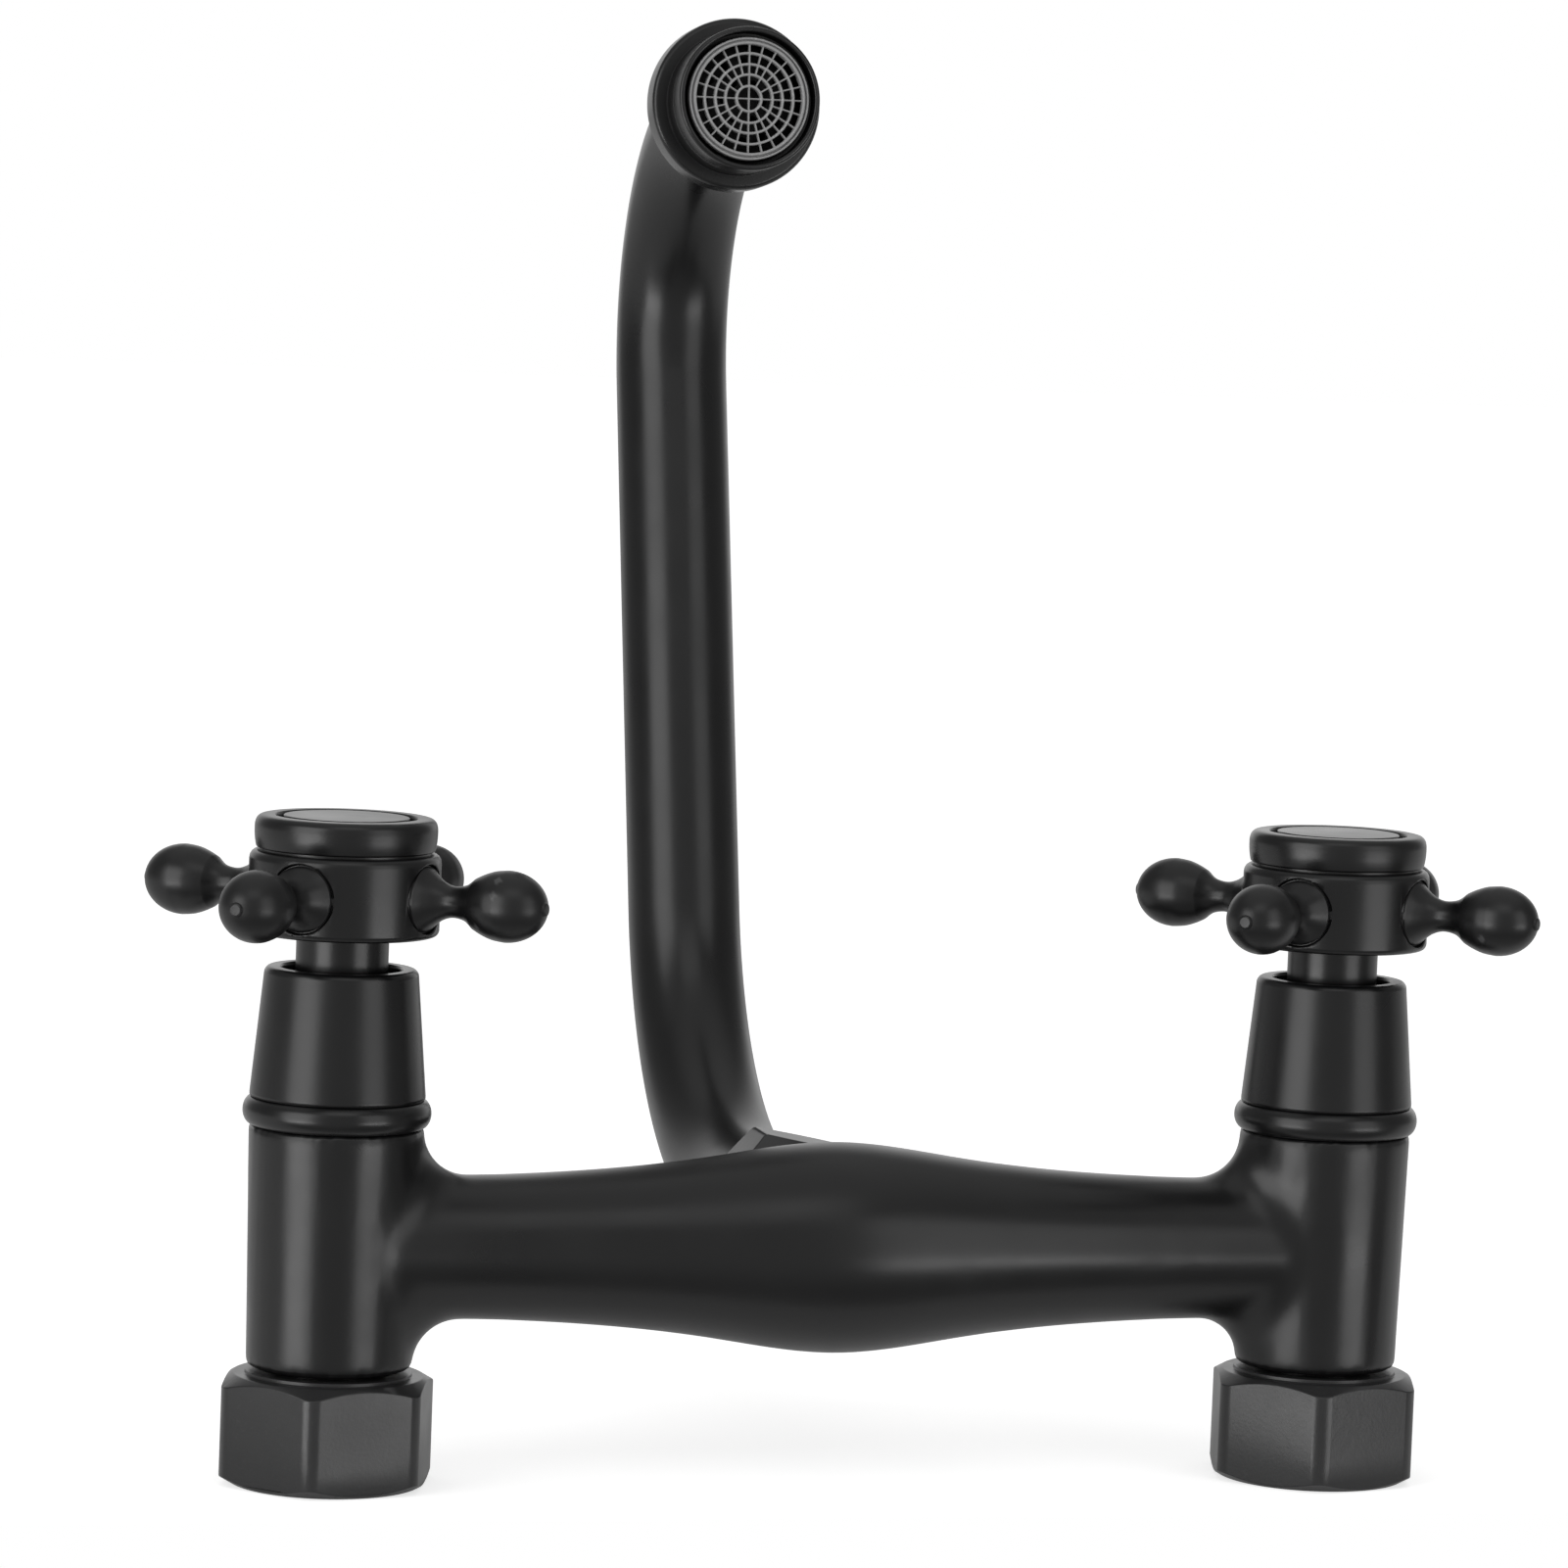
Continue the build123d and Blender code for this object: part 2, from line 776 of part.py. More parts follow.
def handle_cap(at):
    floor_out = cap_top_out - index_disc_thickness
    side_out = hub_top_out + cap_gap
    spigot_bore = hub_recess_radius - 1.5
    with BuildPart() as cap:
        with BuildSketch(section(at)):
            with BuildLine():
                Polyline(
                    (cap_radius - 0.35, side_out),
                    (cap_radius - 0.8, side_out),
                    (cap_radius - 0.8, hub_top_out),
                    (hub_recess_radius - fit_gap, hub_top_out),
                    (hub_recess_radius - fit_gap, hub_top_out - cap_spigot),
                    (spigot_bore, hub_top_out - cap_spigot),
                    (spigot_bore, floor_out - 1.6),
                    (0, floor_out - 1.6),
                    (0, floor_out),
                    (cap_recess_radius, floor_out),
                    (cap_recess_radius, cap_top_out),
                    (cap_radius - 1.5, cap_top_out),
                )
                ThreePointArc(
                    (cap_radius - 1.5, cap_top_out),
                    (cap_radius - 0.35, cap_top_out - 0.65),
                    (cap_radius, cap_top_out - 1.9),
                )
                Line((cap_radius, cap_top_out - 1.9), (cap_radius - 0.35, side_out))
            make_face()
        revolve(axis=Axis(at.origin, at.z_dir))
    return cap


def index_disc(at):
    edge = 0.15
    start = cap_top_out - index_disc_thickness
    return turned(
        at,
        (0, start),
        (index_disc_radius, start),
        (index_disc_radius, cap_top_out - edge),
        (index_disc_radius - edge, cap_top_out),
        (0, cap_top_out),
    )


def handle_screw(at):
    head_out = hub_web_out + hub_web
    with BuildPart() as screw:
        with BuildSketch(section(at)):
            with BuildLine():
                Polyline(
                    (0, spline_end_out - screw_depth),
                    (screw_thread_radius, spline_end_out - screw_depth),
                    (screw_thread_radius, head_out),
                    (3.5, head_out),
                    (3.5, head_out + 1.4),
                    (2.9, head_out + 2.1),
                    (0, head_out + 2.1),
                    close=True,
                )
            make_face()
        revolve(axis=Axis(at.origin, at.z_dir))
        with BuildSketch(at.offset(head_out + 2.1)):
            RegularPolygon(1.25, 6, major_radius=False)
        extrude(amount=-1.3, mode=Mode.SUBTRACT)
    return screw


# Swivelling spout
def spout_nut(at):
    bore_outline = [
        (0, spout_nut_base_z - 1),
        (boss_thread_radius + fit_gap, spout_nut_base_z - 1),
        (boss_thread_radius + fit_gap, spout_nut_lip_z),
        (tube_radius + 0.3, spout_nut_lip_z),
        (tube_radius + 0.3, spout_nut_top_z + 1),
        (0, spout_nut_top_z + 1),
    ]
    return hexagon_nut(
        at,
        spout_nut_flats,
        spout_nut_base_z,
        spout_nut_top_z,
        spout_nut_face_radius,
        spout_nut_corner_round,
        spout_nut_turn,
        (spout_nut_collar_radius, nut_collar_height),
        bore_outline,
    )


def spout_slip_ring(at):
    """Low-friction ring on the floor of the socket, under the end of the tube."""
    return ring(
        at,
        tube_radius - tube_wall + 0.2,
        socket_radius - fit_gap,
        socket_floor_z,
        socket_floor_z + slip_ring_thickness,
    )


def spout_seals(at):
    radius = spout_seal_groove_radius - fit_gap - spout_seal_thickness / 2
    return seal_rings(at, radius, spout_seal_thickness, spout_seal_stations)


def split_ring(at):
    """Open ring snapped into the groove of the tube; the nut holds it down."""
    with BuildPart() as open_ring:
        with BuildSketch(at.offset(split_ring_z)):
            Circle(split_ring_radius)
            Circle(tube_radius - split_ring_groove + fit_gap, mode=Mode.SUBTRACT)
            with Locations((0, split_ring_radius)):
                Rectangle(3.0, split_ring_radius, mode=Mode.SUBTRACT)
        extrude(amount=split_ring_thickness)
    return open_ring


def spout_path():
    """Centre line of the tube in the plane X = 0, from the socket to the last bend's end."""
    side = Plane((0, -bridge_out, 0), x_dir=(0, -1, 0), z_dir=(-1, 0, 0))
    with BuildLine(side) as path:
        riser = Line((0, tube_start_z), (0, riser_top_z))
        rise = JernArc(riser @ 1, riser % 1, lower_bend_radius, spout_rise_angle - 90)
        run = PolarLine(rise @ 1, run_length, spout_rise_angle)
        drop = JernArc(run @ 1, run % 1, upper_bend_radius, outlet_tilt - 90 - spout_rise_angle)
        Line(drop @ 1, drop @ 1 + (drop % 1) * (outlet_length - tube_end))
    return path


def spout_tube(path, at):
    with BuildPart() as tube:
        with BuildSketch(at.offset(tube_start_z)):
            Circle(tube_radius)
            Circle(tube_radius - tube_wall, mode=Mode.SUBTRACT)
        sweep(path=path.wire())
        # groove for the split ring
        with BuildSketch(at.offset(split_ring_z)):
            Circle(tube_radius + 1)
            Circle(tube_radius - split_ring_groove, mode=Mode.SUBTRACT)
        extrude(amount=split_ring_thickness, mode=Mode.SUBTRACT)
    return tube


# Outlet, on a plane at the mouth whose Z axis points back up the flow
def outlet_collar(at):
    bend = 0.8
    with BuildPart() as collar:
        with BuildSketch(section(at)):
            with BuildLine():
                Polyline(
                    (housing_thread_radius + fit_gap, housing_seam + 0.15),
                    (housing_radius, housing_seam + 0.15),
                    (housing_radius, flange_front),
                    (flange_radius - bend, flange_front),
                )
                RadiusArc(
                    (flange_radius - bend, flange_front),
                    (flange_radius, flange_front + bend),
                    -bend,
                )
                Line((flange_radius, flange_front + bend), (flange_radius, flange_back - bend))
                RadiusArc(
                    (flange_radius, flange_back - bend), (flange_radius - bend, flange_back), -bend
                )
                Line((flange_radius - bend, flange_back), (collar_radius + 1.2, flange_back))
                RadiusArc((collar_radius + 1.2, flange_back), (collar_radius, flange_back + 1.2), 1.2)
                Polyline(
                    (collar_radius, flange_back + 1.2),
                    (collar_radius, collar_end - 0.5),
                    (collar_radius - 0.5, collar_end),
                    (tube_radius + fit_gap, collar_end),
                    (tube_radius + fit_gap, tube_end - 0.1),
                    (tube_radius - tube_wall, tube_end - 0.1),
                    (tube_radius - tube_wall, collar_shoulder),
                    (housing_thread_radius + fit_gap, collar_shoulder),
                    (housing_thread_radius + fit_gap, housing_seam + 0.15),
                )
            make_face()
        revolve(axis=Axis(at.origin, at.z_dir))
    return collar


def aerator_housing(at):
    """Threaded ring that holds the jet insert in the collar."""
    return turned(
        at,
        (housing_recess_radius, 0.3),
        (housing_recess_radius + 0.25, 0),
        (housing_radius - 0.35, 0),
        (housing_radius, 0.35),
        (housing_radius, housing_seam - 0.3),
        (housing_radius - 0.3, housing_seam),
        (housing_thread_radius, housing_seam),
        (housing_thread_radius, housing_end),
        (housing_bore_radius, housing_end),
        (housing_bore_radius, housing_recess),
        (housing_recess_radius, housing_recess),
    )


def aerator_insert(at):
    """Cup with a drilled plate that breaks the jet up above the grille."""
    radius = housing_bore_radius - fit_gap
    rim_out = housing_end + 0.95
    plate = 1.5
    with BuildPart() as insert:
        with BuildSketch(section(at)):
            with BuildLine():
                Polyline(
                    (0, housing_end - plate),
                    (grille_rim_radius, housing_end - plate),
                    (grille_rim_radius, grille_back),
                    (radius, grille_back),
                    (radius, housing_end),
                    (housing_thread_radius, housing_end),
                    (housing_thread_radius, rim_out),
                    (radius - 0.8, rim_out),
                    (radius - 0.8, housing_end),
                    (0, housing_end),
                    close=True,
                )
            make_face()
        revolve(axis=Axis(at.origin, at.z_dir))
        with Locations(at.offset(housing_end)):
            with PolarLocations(3.2, 6):
                Hole(0.6, plate)
            with PolarLocations(6.2, 12):
                Hole(0.6, plate)
    return insert


def aerator_seal(at):
    return ring(
        at, aerator_seal_bore, housing_thread_radius - 0.1, housing_end + 0.95, collar_shoulder
    )


def aerator_grille(at):
    """Round grille: a stepped rim, four thin rings and the spokes between them."""
    inner_radii = [0] + grille_ring_radii
    outer_radii = grille_ring_radii + [grille_rim_radius]
    with BuildPart() as grille:
        with BuildSketch(at.offset(grille_front + grille_step)):
            Circle(grille_radius)
            Circle(grille_rim_radius, mode=Mode.SUBTRACT)
            for radius in grille_ring_radii:
                with BuildSketch(mode=Mode.PRIVATE) as hoop:
                    Circle(radius + grille_bar / 2)
                    Circle(radius - grille_bar / 2, mode=Mode.SUBTRACT)
                add(hoop.sketch)
            for inner, outer, count in zip(inner_radii, outer_radii, grille_spokes):
                with PolarLocations((inner + outer) / 2, count):
                    Rectangle(outer - inner, grille_bar)
        extrude(amount=grille_back - grille_front - grille_step)
        # raised inner half of the rim
        with BuildSketch(at.offset(grille_front)):
            Circle(grille_step_radius)
            Circle(grille_rim_radius, mode=Mode.SUBTRACT)
        extrude(amount=grille_step)
    return grille


save(cast_body(), "body")

for side, x, nut_turn, arm_angle in (
    ("left", -inlet_spacing / 2, left_nut_turn, left_arm_angle),
    ("right", inlet_spacing / 2, right_nut_turn, right_arm_angle),
):
    valve = valve_plane(x)
    save(union_nut(valve, nut_turn), f"{side}_union_nut")
    save(union_tail(valve), f"{side}_union_tail")
    save(union_washer(valve), f"{side}_union_washer")
    save(insert_body(valve), f"{side}_insert_body")
    save(insert_seal(valve), f"{side}_insert_seal")
    save(seat_seal(valve), f"{side}_seat_seal")
    save(fixed_disc(valve), f"{side}_fixed_disc")
    save(moving_disc(valve), f"{side}_moving_disc")
    save(spindle(valve), f"{side}_spindle")
    save(spindle_seals(valve), f"{side}_spindle_seals")
    save(spindle_clip(valve), f"{side}_spindle_clip")
    save(trim_ring(valve), f"{side}_trim_ring")
    save(cover(valve), f"{side}_cover")
    save(handle_hub(valve, arm_angle), f"{side}_handle_hub")
    save(handle_arms(valve, arm_angle), f"{side}_handle_arms")
    save(handle_cap(valve), f"{side}_handle_cap")
    save(index_disc(valve), f"{side}_index_disc")
    save(handle_screw(valve), f"{side}_handle_screw")

swivel = Plane((0, -bridge_out, 0))
save(spout_nut(swivel), "spout_nut")
save(spout_slip_ring(swivel), "spout_slip_ring")
save(spout_seals(swivel), "spout_seals")
save(split_ring(swivel), "spout_split_ring")
path = spout_path()
save(spout_tube(path, swivel), "spout_tube")

flow = path.wire() % 1
mouth = path.wire() @ 1 + flow * tube_end
outlet = Plane(mouth, x_dir=(1, 0, 0), z_dir=-flow)
save(outlet_collar(outlet), "outlet_collar")
save(aerator_housing(outlet), "aerator_housing")
save(aerator_insert(outlet), "aerator_insert")
save(aerator_seal(outlet), "aerator_seal")
save(aerator_grille(outlet), "aerator_grille")
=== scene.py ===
import json
from bisect import bisect
from functools import partial
from math import cos, hypot, pi, radians, sin, sqrt, tan

import bpy
from mathutils import Matrix, Vector


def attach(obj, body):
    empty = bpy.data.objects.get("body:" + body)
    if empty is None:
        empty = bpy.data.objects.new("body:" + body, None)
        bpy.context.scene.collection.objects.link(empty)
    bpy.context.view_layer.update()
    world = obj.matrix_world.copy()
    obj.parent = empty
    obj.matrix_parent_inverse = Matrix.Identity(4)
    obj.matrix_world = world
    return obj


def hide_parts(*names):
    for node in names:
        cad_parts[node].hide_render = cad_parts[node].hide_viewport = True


# Wall mixer tap: the painted casting, turned parts, nuts, spout and handles that show,
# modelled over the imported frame. Sizes are written in millimetres and set in metres.
# Turned parts are drawn upright, as (radius, height) stations, and then put in place.
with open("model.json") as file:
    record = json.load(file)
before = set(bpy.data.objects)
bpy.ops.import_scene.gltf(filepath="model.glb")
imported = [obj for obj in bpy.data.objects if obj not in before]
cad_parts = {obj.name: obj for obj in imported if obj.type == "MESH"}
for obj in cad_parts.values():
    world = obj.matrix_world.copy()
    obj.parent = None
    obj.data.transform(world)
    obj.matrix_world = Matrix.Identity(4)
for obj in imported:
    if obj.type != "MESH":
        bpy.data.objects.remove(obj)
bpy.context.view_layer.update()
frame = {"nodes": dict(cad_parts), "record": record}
bpy.ops.object.select_all(action="DESELECT")

mm = 0.001
weld = 0.002 * mm
half_spacing = 75.0
bridge_out = 34.4

# Valve, from the wall outwards
nut_top_out = 15.9
nut_collar_height = 0.5
thread_minor = 12.06
thread_major = 13.2
flange_out = 10.0
column_top_out = 52.15
cover_base_out = 56.25
cover_top_out = 75.1
neck_out = 69.2
hub_base_out = 80.0
hub_top_out = 91.9
arm_out = 85.9
arm_seat = 12.9
knob_reach = 26.2
knob_radius = 5.17
knob_nose = 6.1
cap_top_out = 97.0

# The spout's centre line: riser, lower bend, run, upper bend and the straight to the tube's end
tube_radius = 9.0
tube_wall = 1.0
riser_start = 13.5
riser_top = 55.5
lower_bend = 52.5
rise_angle = radians(15.5)
run_length = 87.25
upper_bend = 35.5
outlet_tilt = radians(5.5)
last_straight = 7.7
tube_end = 9.6


# Making and placing
def edit(piece):
    bpy.context.view_layer.objects.active = piece
    bpy.ops.object.mode_set(mode="EDIT")


def leave_edit():
    bpy.ops.object.mode_set(mode="OBJECT")


def pick_only(piece):
    bpy.ops.object.select_all(action="DESELECT")
    piece.select_set(True)
    bpy.context.view_layer.objects.active = piece


def apply_modifier(piece, kind, **settings):
    pick_only(piece)
    modifier = piece.modifiers.new(kind, kind)
    for name, value in settings.items():
        setattr(modifier, name, value)
    bpy.ops.object.modifier_apply(modifier=modifier.name)


def turned(stations, sides=96):
    """A circle drawn at the first station, then extruded and resized from one to the next.
    A chain that comes back to its start is a ring; any other chain is closed at both ends."""
    radius, height = stations[0]
    is_ring = stations[-1] == stations[0]
    bpy.ops.mesh.primitive_circle_add(
        vertices=sides,
        radius=radius * mm,
        fill_type="NOTHING" if is_ring else "NGON",
        location=(0, 0, height * mm),
    )
    piece = bpy.context.active_object
    bpy.ops.object.transform_apply(location=True, rotation=True, scale=True)
    edit(piece)
    for (last_radius, last_height), (radius, height) in zip(stations, stations[1:]):
        rise = (0, 0, (height - last_height) * mm)
        growth = radius / last_radius
        bpy.ops.mesh.extrude_region_move(TRANSFORM_OT_translate={"value": rise})
        bpy.ops.transform.resize(value=(growth, growth, 1), center_override=(0, 0, height * mm))
    bpy.ops.mesh.select_all(action="SELECT")
    bpy.ops.mesh.remove_doubles(threshold=weld)
    bpy.ops.mesh.normals_make_consistent(inside=False)
    leave_edit()
    return piece


def rounded(stations, steps=6):
    """More stations on one smooth curve that passes through the ones given."""
    ends = [stations[0]] + list(stations) + [stations[-1]]
    curve = []
    for before, start, end, after in zip(ends, ends[1:], ends[2:], ends[3:]):
        for step in range(steps):
            t = step / steps
            point = []
            for a, b, c, d in zip(before, start, end, after):
                bend = (2 * a - 5 * b + 4 * c - d) * t + (3 * b - a - 3 * c + d) * t * t
                point.append(b + 0.5 * t * (c - a + bend))
            curve.append(tuple(point))
    return curve + [stations[-1]]


def carve(piece, cutter, operation="DIFFERENCE"):
    apply_modifier(piece, "BOOLEAN", object=cutter, operation=operation, solver="EXACT")
    bpy.data.objects.remove(cutter)


def soften_edges(piece, width, segments=3, above=28):
    """Rounds every edge sharper than an angle, as polishing and paint do."""
    apply_modifier(
        piece,
        "BEVEL",
        width=width * mm,
        segments=segments,
        limit_method="ANGLE",
        angle_limit=radians(above),
        use_clamp_overlap=False,
    )


def smooth(piece, angle=40):
    pick_only(piece)
    bpy.ops.object.shade_smooth_by_angle(angle=radians(angle))
    apply_modifier(piece, "WEIGHTED_NORMAL", keep_sharp=True)


def place(piece, place_at):
    """Sets an upright piece in its place and leaves that place in its mesh."""
    piece.matrix_world = place_at
    pick_only(piece)
    bpy.ops.object.transform_apply(location=True, rotation=True, scale=True)


def copy_of(piece):
    twin = bpy.data.objects.new(piece.name, piece.data.copy())
    bpy.context.scene.collection.objects.link(twin)
    return twin


def join(pieces):
    bpy.ops.object.select_all(action="DESELECT")
    for piece in pieces:
        piece.select_set(True)
    bpy.context.view_layer.objects.active = pieces[0]
    bpy.ops.object.join()
    return pieces[0]


def valve_place(x, turn=0):
    """Upright becomes out from the wall, along -Y, at one valve."""
    spot = Matrix.Translation((x * mm, 0, 0)) @ Matrix.Rotation(pi / 2, 4, "X")
    return spot @ Matrix.Rotation(turn, 4, "Z")


# Nodes, and the groups of them that several finishes share
def node(tree, kind, inputs=None, **settings):
    made = tree.nodes.new("ShaderNode" + kind)
    order = len(tree.nodes)
    made.location = (230 * (order // 4), -260 * (order % 4))
    for name, value in settings.items():
        setattr(made, name, value)
    for name, value in (inputs or {}).items():
        if isinstance(value, bpy.types.NodeSocket):
            tree.links.new(value, made.inputs[name])
        else:
            made.inputs[name].default_value = value
    return made


def object_place(tree):
    return node(tree, "TexCoord").outputs["Object"]


def noise(tree, spot, scale, detail):
    return node(tree, "TexNoise", {"Vector": spot, "Scale": scale, "Detail": detail}).outputs["Fac"]


def product(tree, first, second):
    return node(tree, "Math", {0: first, 1: second}, operation="MULTIPLY").outputs[0]


def strongest(tree, *sources):
    """The largest of several numbers."""
    largest = sources[0]
    for source in sources[1:]:
        largest = node(tree, "Math", {0: largest, 1: source}, operation="MAXIMUM").outputs[0]
    return largest


def remapped(tree, value, low=0.0, high=1.0, to_low=0.0, to_high=1.0, **settings):
    """A number from one range moved to another, and held inside it."""
    ends = {"From Min": low, "From Max": high, "To Min": to_low, "To Max": to_high}
    return node(tree, "MapRange", {"Value": value, **ends}, **settings).outputs["Result"]


def blended(tree, share, first, second):
    """Two colours, or sockets of them, mixed by a share from 0 to 1."""
    first, second = (
        colour if isinstance(colour, bpy.types.NodeSocket) else (*colour, 1)
        for colour in (first, second)
    )
    return node(tree, "Mix", {0: share, 6: first, 7: second}, data_type="RGBA").outputs[2]


def effect(name, inputs, outputs):
    """An empty shader node group with number sockets, its input node and its output node."""
    group = bpy.data.node_groups.new(name, "ShaderNodeTree")
    for socket, value in inputs.items():
        made = group.interface.new_socket(name=socket, in_out="INPUT", socket_type="NodeSocketFloat")
        made.default_value = value
    for socket in outputs:
        group.interface.new_socket(name=socket, in_out="OUTPUT", socket_type="NodeSocketFloat")
    return group, group.nodes.new("NodeGroupInput"), group.nodes.new("NodeGroupOutput")


def sprayed_coat():
    """Fine grain over a slight orange peel, sparse flecks, and a broad cloud for the gloss."""
    peel_scale = 0.3
    peel_share = 0.45
    fleck_scale = 0.8
    fleck_start, fleck_full = 0.73, 0.79
    cloud_scale = 70.0
    group, given, result = effect(
        "sprayed coat", {"Grain Scale": 2200.0, "Fleck Amount": 0.5}, ("Height", "Fleck", "Cloud")
    )
    spot = object_place(group)
    grain = given.outputs["Grain Scale"]
    fine = noise(group, spot, grain, 2.0)
    peel = noise(group, spot, product(group, grain, peel_scale), 1.0)
    height = node(group, "Mix", {0: peel_share, 2: fine, 3: peel}, data_type="FLOAT")
    grit = noise(group, spot, product(group, grain, fleck_scale), 0.0)
    fleck = product(
        group, remapped(group, grit, fleck_start, fleck_full), given.outputs["Fleck Amount"]
    )
    group.links.new(height.outputs[0], result.inputs["Height"])
    group.links.new(fleck, result.inputs["Fleck"])
    group.links.new(noise(group, spot, cloud_scale, 3.0), result.inputs["Cloud"])
    return group


def rubbed_and_highlit_edges():
    """A broken line along convex edges, made lighter: partly wear where the coat is thin, and partly a
    painted highlight where the edges catch the light.
    """
    gap_start, gap_end = 0.3, 0.6
    group, given, result = effect(
        "rubbed edges", {"Start": 0.53, "End": 0.62, "Patch Scale": 400.0}, ("Wear",)
    )
    pointiness = node(group, "NewGeometry").outputs["Pointiness"]
    edge = remapped(group, pointiness, given.outputs["Start"], given.outputs["End"])
    patches = noise(group, object_place(group), given.outputs["Patch Scale"], 3.0)
    wear_and_highlight = product(group, edge, remapped(group, patches, gap_start, gap_end))
    group.links.new(wear_and_highlight, result.inputs["Wear"])
    return group


def lathe_marks():
    """Fine rings along a valve's axis, broken up a little, as a lathe leaves them."""
    squeeze = 0.05
    stain_scale = 180.0
    group, given, result = effect("lathe marks", {"Ring Scale": 6000.0}, ("Height", "Tone"))
    spot = object_place(group)
    squeezed = node(
        group, "Mapping", {"Vector": spot, "Scale": (squeeze, 1.0, squeeze)}, vector_type="POINT"
    )
    rings = noise(group, squeezed.outputs[0], given.outputs["Ring Scale"], 2.0)
    group.links.new(rings, result.inputs["Height"])
    group.links.new(noise(group, spot, stain_scale, 4.0), result.inputs["Tone"])
    return group


coat_effect = sprayed_coat()
edge_wear_and_highlight_effect = rubbed_and_highlit_edges()
lathe_effect = lathe_marks()


# Finishes
def new_finish(name):
    material = bpy.data.materials.new(name)
    material.use_nodes = True
    tree = material.node_tree
    return material, tree, tree.nodes["Principled BSDF"]


def grouped(tree, group, **values):
    made = node(tree, "Group", node_tree=group)
    for name, value in values.items():
        made.inputs[name.replace("_", " ").title()].default_value = value
    return made


def surface(tree, shader, colour, gloss, height, bump, depth):
    """Gives a shader its colour, its roughness and a relief some hundredths of a mm deep."""
    relief = node(tree, "Bump", {"Height": height, "Strength": bump, "Distance": depth * mm})
    tree.links.new(colour, shader.inputs["Base Color"])
    tree.links.new(gloss, shader.inputs["Roughness"])
    tree.links.new(relief.outputs["Normal"], shader.inputs["Normal"])


def coated(name, colour, fleck_and_edge_highlight_colour, roughness, grain, bump, fleck=0.0, specular=0.5):
    """Sprayed metal or moulded plastic: grain, flecks, a cloudy gloss, and convex edges lightened partly
    as rubbed wear and partly as a painted highlight.
    """
    gloss_range = 0.04
    relief_depth = 0.05
    material, tree, shader = new_finish(name)
    coat = grouped(tree, coat_effect, grain_scale=grain, fleck_amount=fleck)
    edges = grouped(tree, edge_wear_and_highlight_effect)
    flecked = blended(tree, coat.outputs["Fleck"], colour, fleck_and_edge_highlight_colour)
    # Convex edges take the lighter colour: partly rubbed wear, partly a painted highlight.
    worn_and_highlit = blended(tree, edges.outputs["Wear"], flecked, fleck_and_edge_highlight_colour)
    gloss = remapped(
        tree, coat.outputs["Cloud"], 0.3, 0.7, roughness - gloss_range, roughness + gloss_range
    )
    surface(tree, shader, worn_and_highlit, gloss, coat.outputs["Height"], bump, relief_depth)
    shader.inputs["Specular IOR Level"].default_value = specular
    return material


def machined(name, colour, stain_colour, roughness, bump):
    """Bare turned metal with lathe rings and faint stains."""
    gloss_below, gloss_above = 0.06, 0.1
    relief_depth = 0.02
    material, tree, shader = new_finish(name)
    marks = grouped(tree, lathe_effect)
    tone = blended(tree, marks.outputs["Tone"], colour, stain_colour)
    rings = marks.outputs["Height"]
    gloss = remapped(tree, rings, 0.3, 0.7, roughness - gloss_below, roughness + gloss_above)
    surface(tree, shader, tone, gloss, rings, bump, relief_depth)
    shader.inputs["Metallic"].default_value = 1.0
    return material


black = (0.0035, 0.0035, 0.0037)
matt_black = (0.018, 0.018, 0.0184)
# Lighter black for the sparse flecks and for the edge lines. The edge lines are partly wear and partly a
# painted highlight.
fleck_and_edge_highlight_black = (0.055, 0.055, 0.056)
finishes = {
    "black_casting": coated(
        "satin black casting", black, fleck_and_edge_highlight_black, roughness=0.31, grain=1700, bump=0.2
    ),
    "black_tube": coated(
        "satin black tube", black, fleck_and_edge_highlight_black, roughness=0.3, grain=2600, bump=0.12
    ),
    "black_turned": coated(
        "satin black turned part", black, fleck_and_edge_highlight_black, roughness=0.29, grain=2600, bump=0.14
    ),
    "black_knob": coated(
        "satin black knob", black, fleck_and_edge_highlight_black, roughness=0.35, grain=2600, bump=0.14
    ),
    "black_nut": coated(
        "matt black nut", matt_black, fleck_and_edge_highlight_black, roughness=0.31, grain=2200, bump=0.5, fleck=0.1
    ),
    "black_rubber": coated(
        "black rubber",
        (0.016, 0.016, 0.016),
        (0.04, 0.04, 0.04),
        roughness=0.72,
        grain=1500,
        bump=0.5,
        fleck=0.1,
        specular=0.3,
    ),
    "ceramic": coated(
        "lapped ceramic",
        (0.74, 0.72, 0.68),
        (0.85, 0.84, 0.8),
        roughness=0.22,
        grain=3000,
        bump=0.05,
        fleck=0.1,
    ),
    "white_plastic": coated(
        "white bearing plastic",
        (0.7, 0.7, 0.68),
        (0.8, 0.8, 0.78),
        roughness=0.45,
        grain=1800,
        bump=0.15,
        fleck=0.1,
        specular=0.4,
    ),
    "dark_plastic": coated(
        "dark moulded plastic",
        (0.004, 0.004, 0.004),
        (0.02, 0.02, 0.02),
        roughness=0.6,
        grain=1800,
        bump=0.25,
        fleck=0.1,
        specular=0.1,
    ),
    "grille_grey": coated(
        "grey moulded grille",
        (0.27, 0.27, 0.27),
        (0.4, 0.4, 0.4),
        roughness=0.42,
        grain=2400,
        bump=0.12,
        fleck=0.2,
        specular=0.45,
    ),
    "bare_brass": machined(
        "turned brass", (0.78, 0.57, 0.29), (0.62, 0.42, 0.2), roughness=0.3, bump=0.3
    ),
    "bare_steel": machined(
        "turned steel", (0.58, 0.57, 0.55), (0.42, 0.41, 0.4), roughness=0.28, bump=0.3
    ),
}


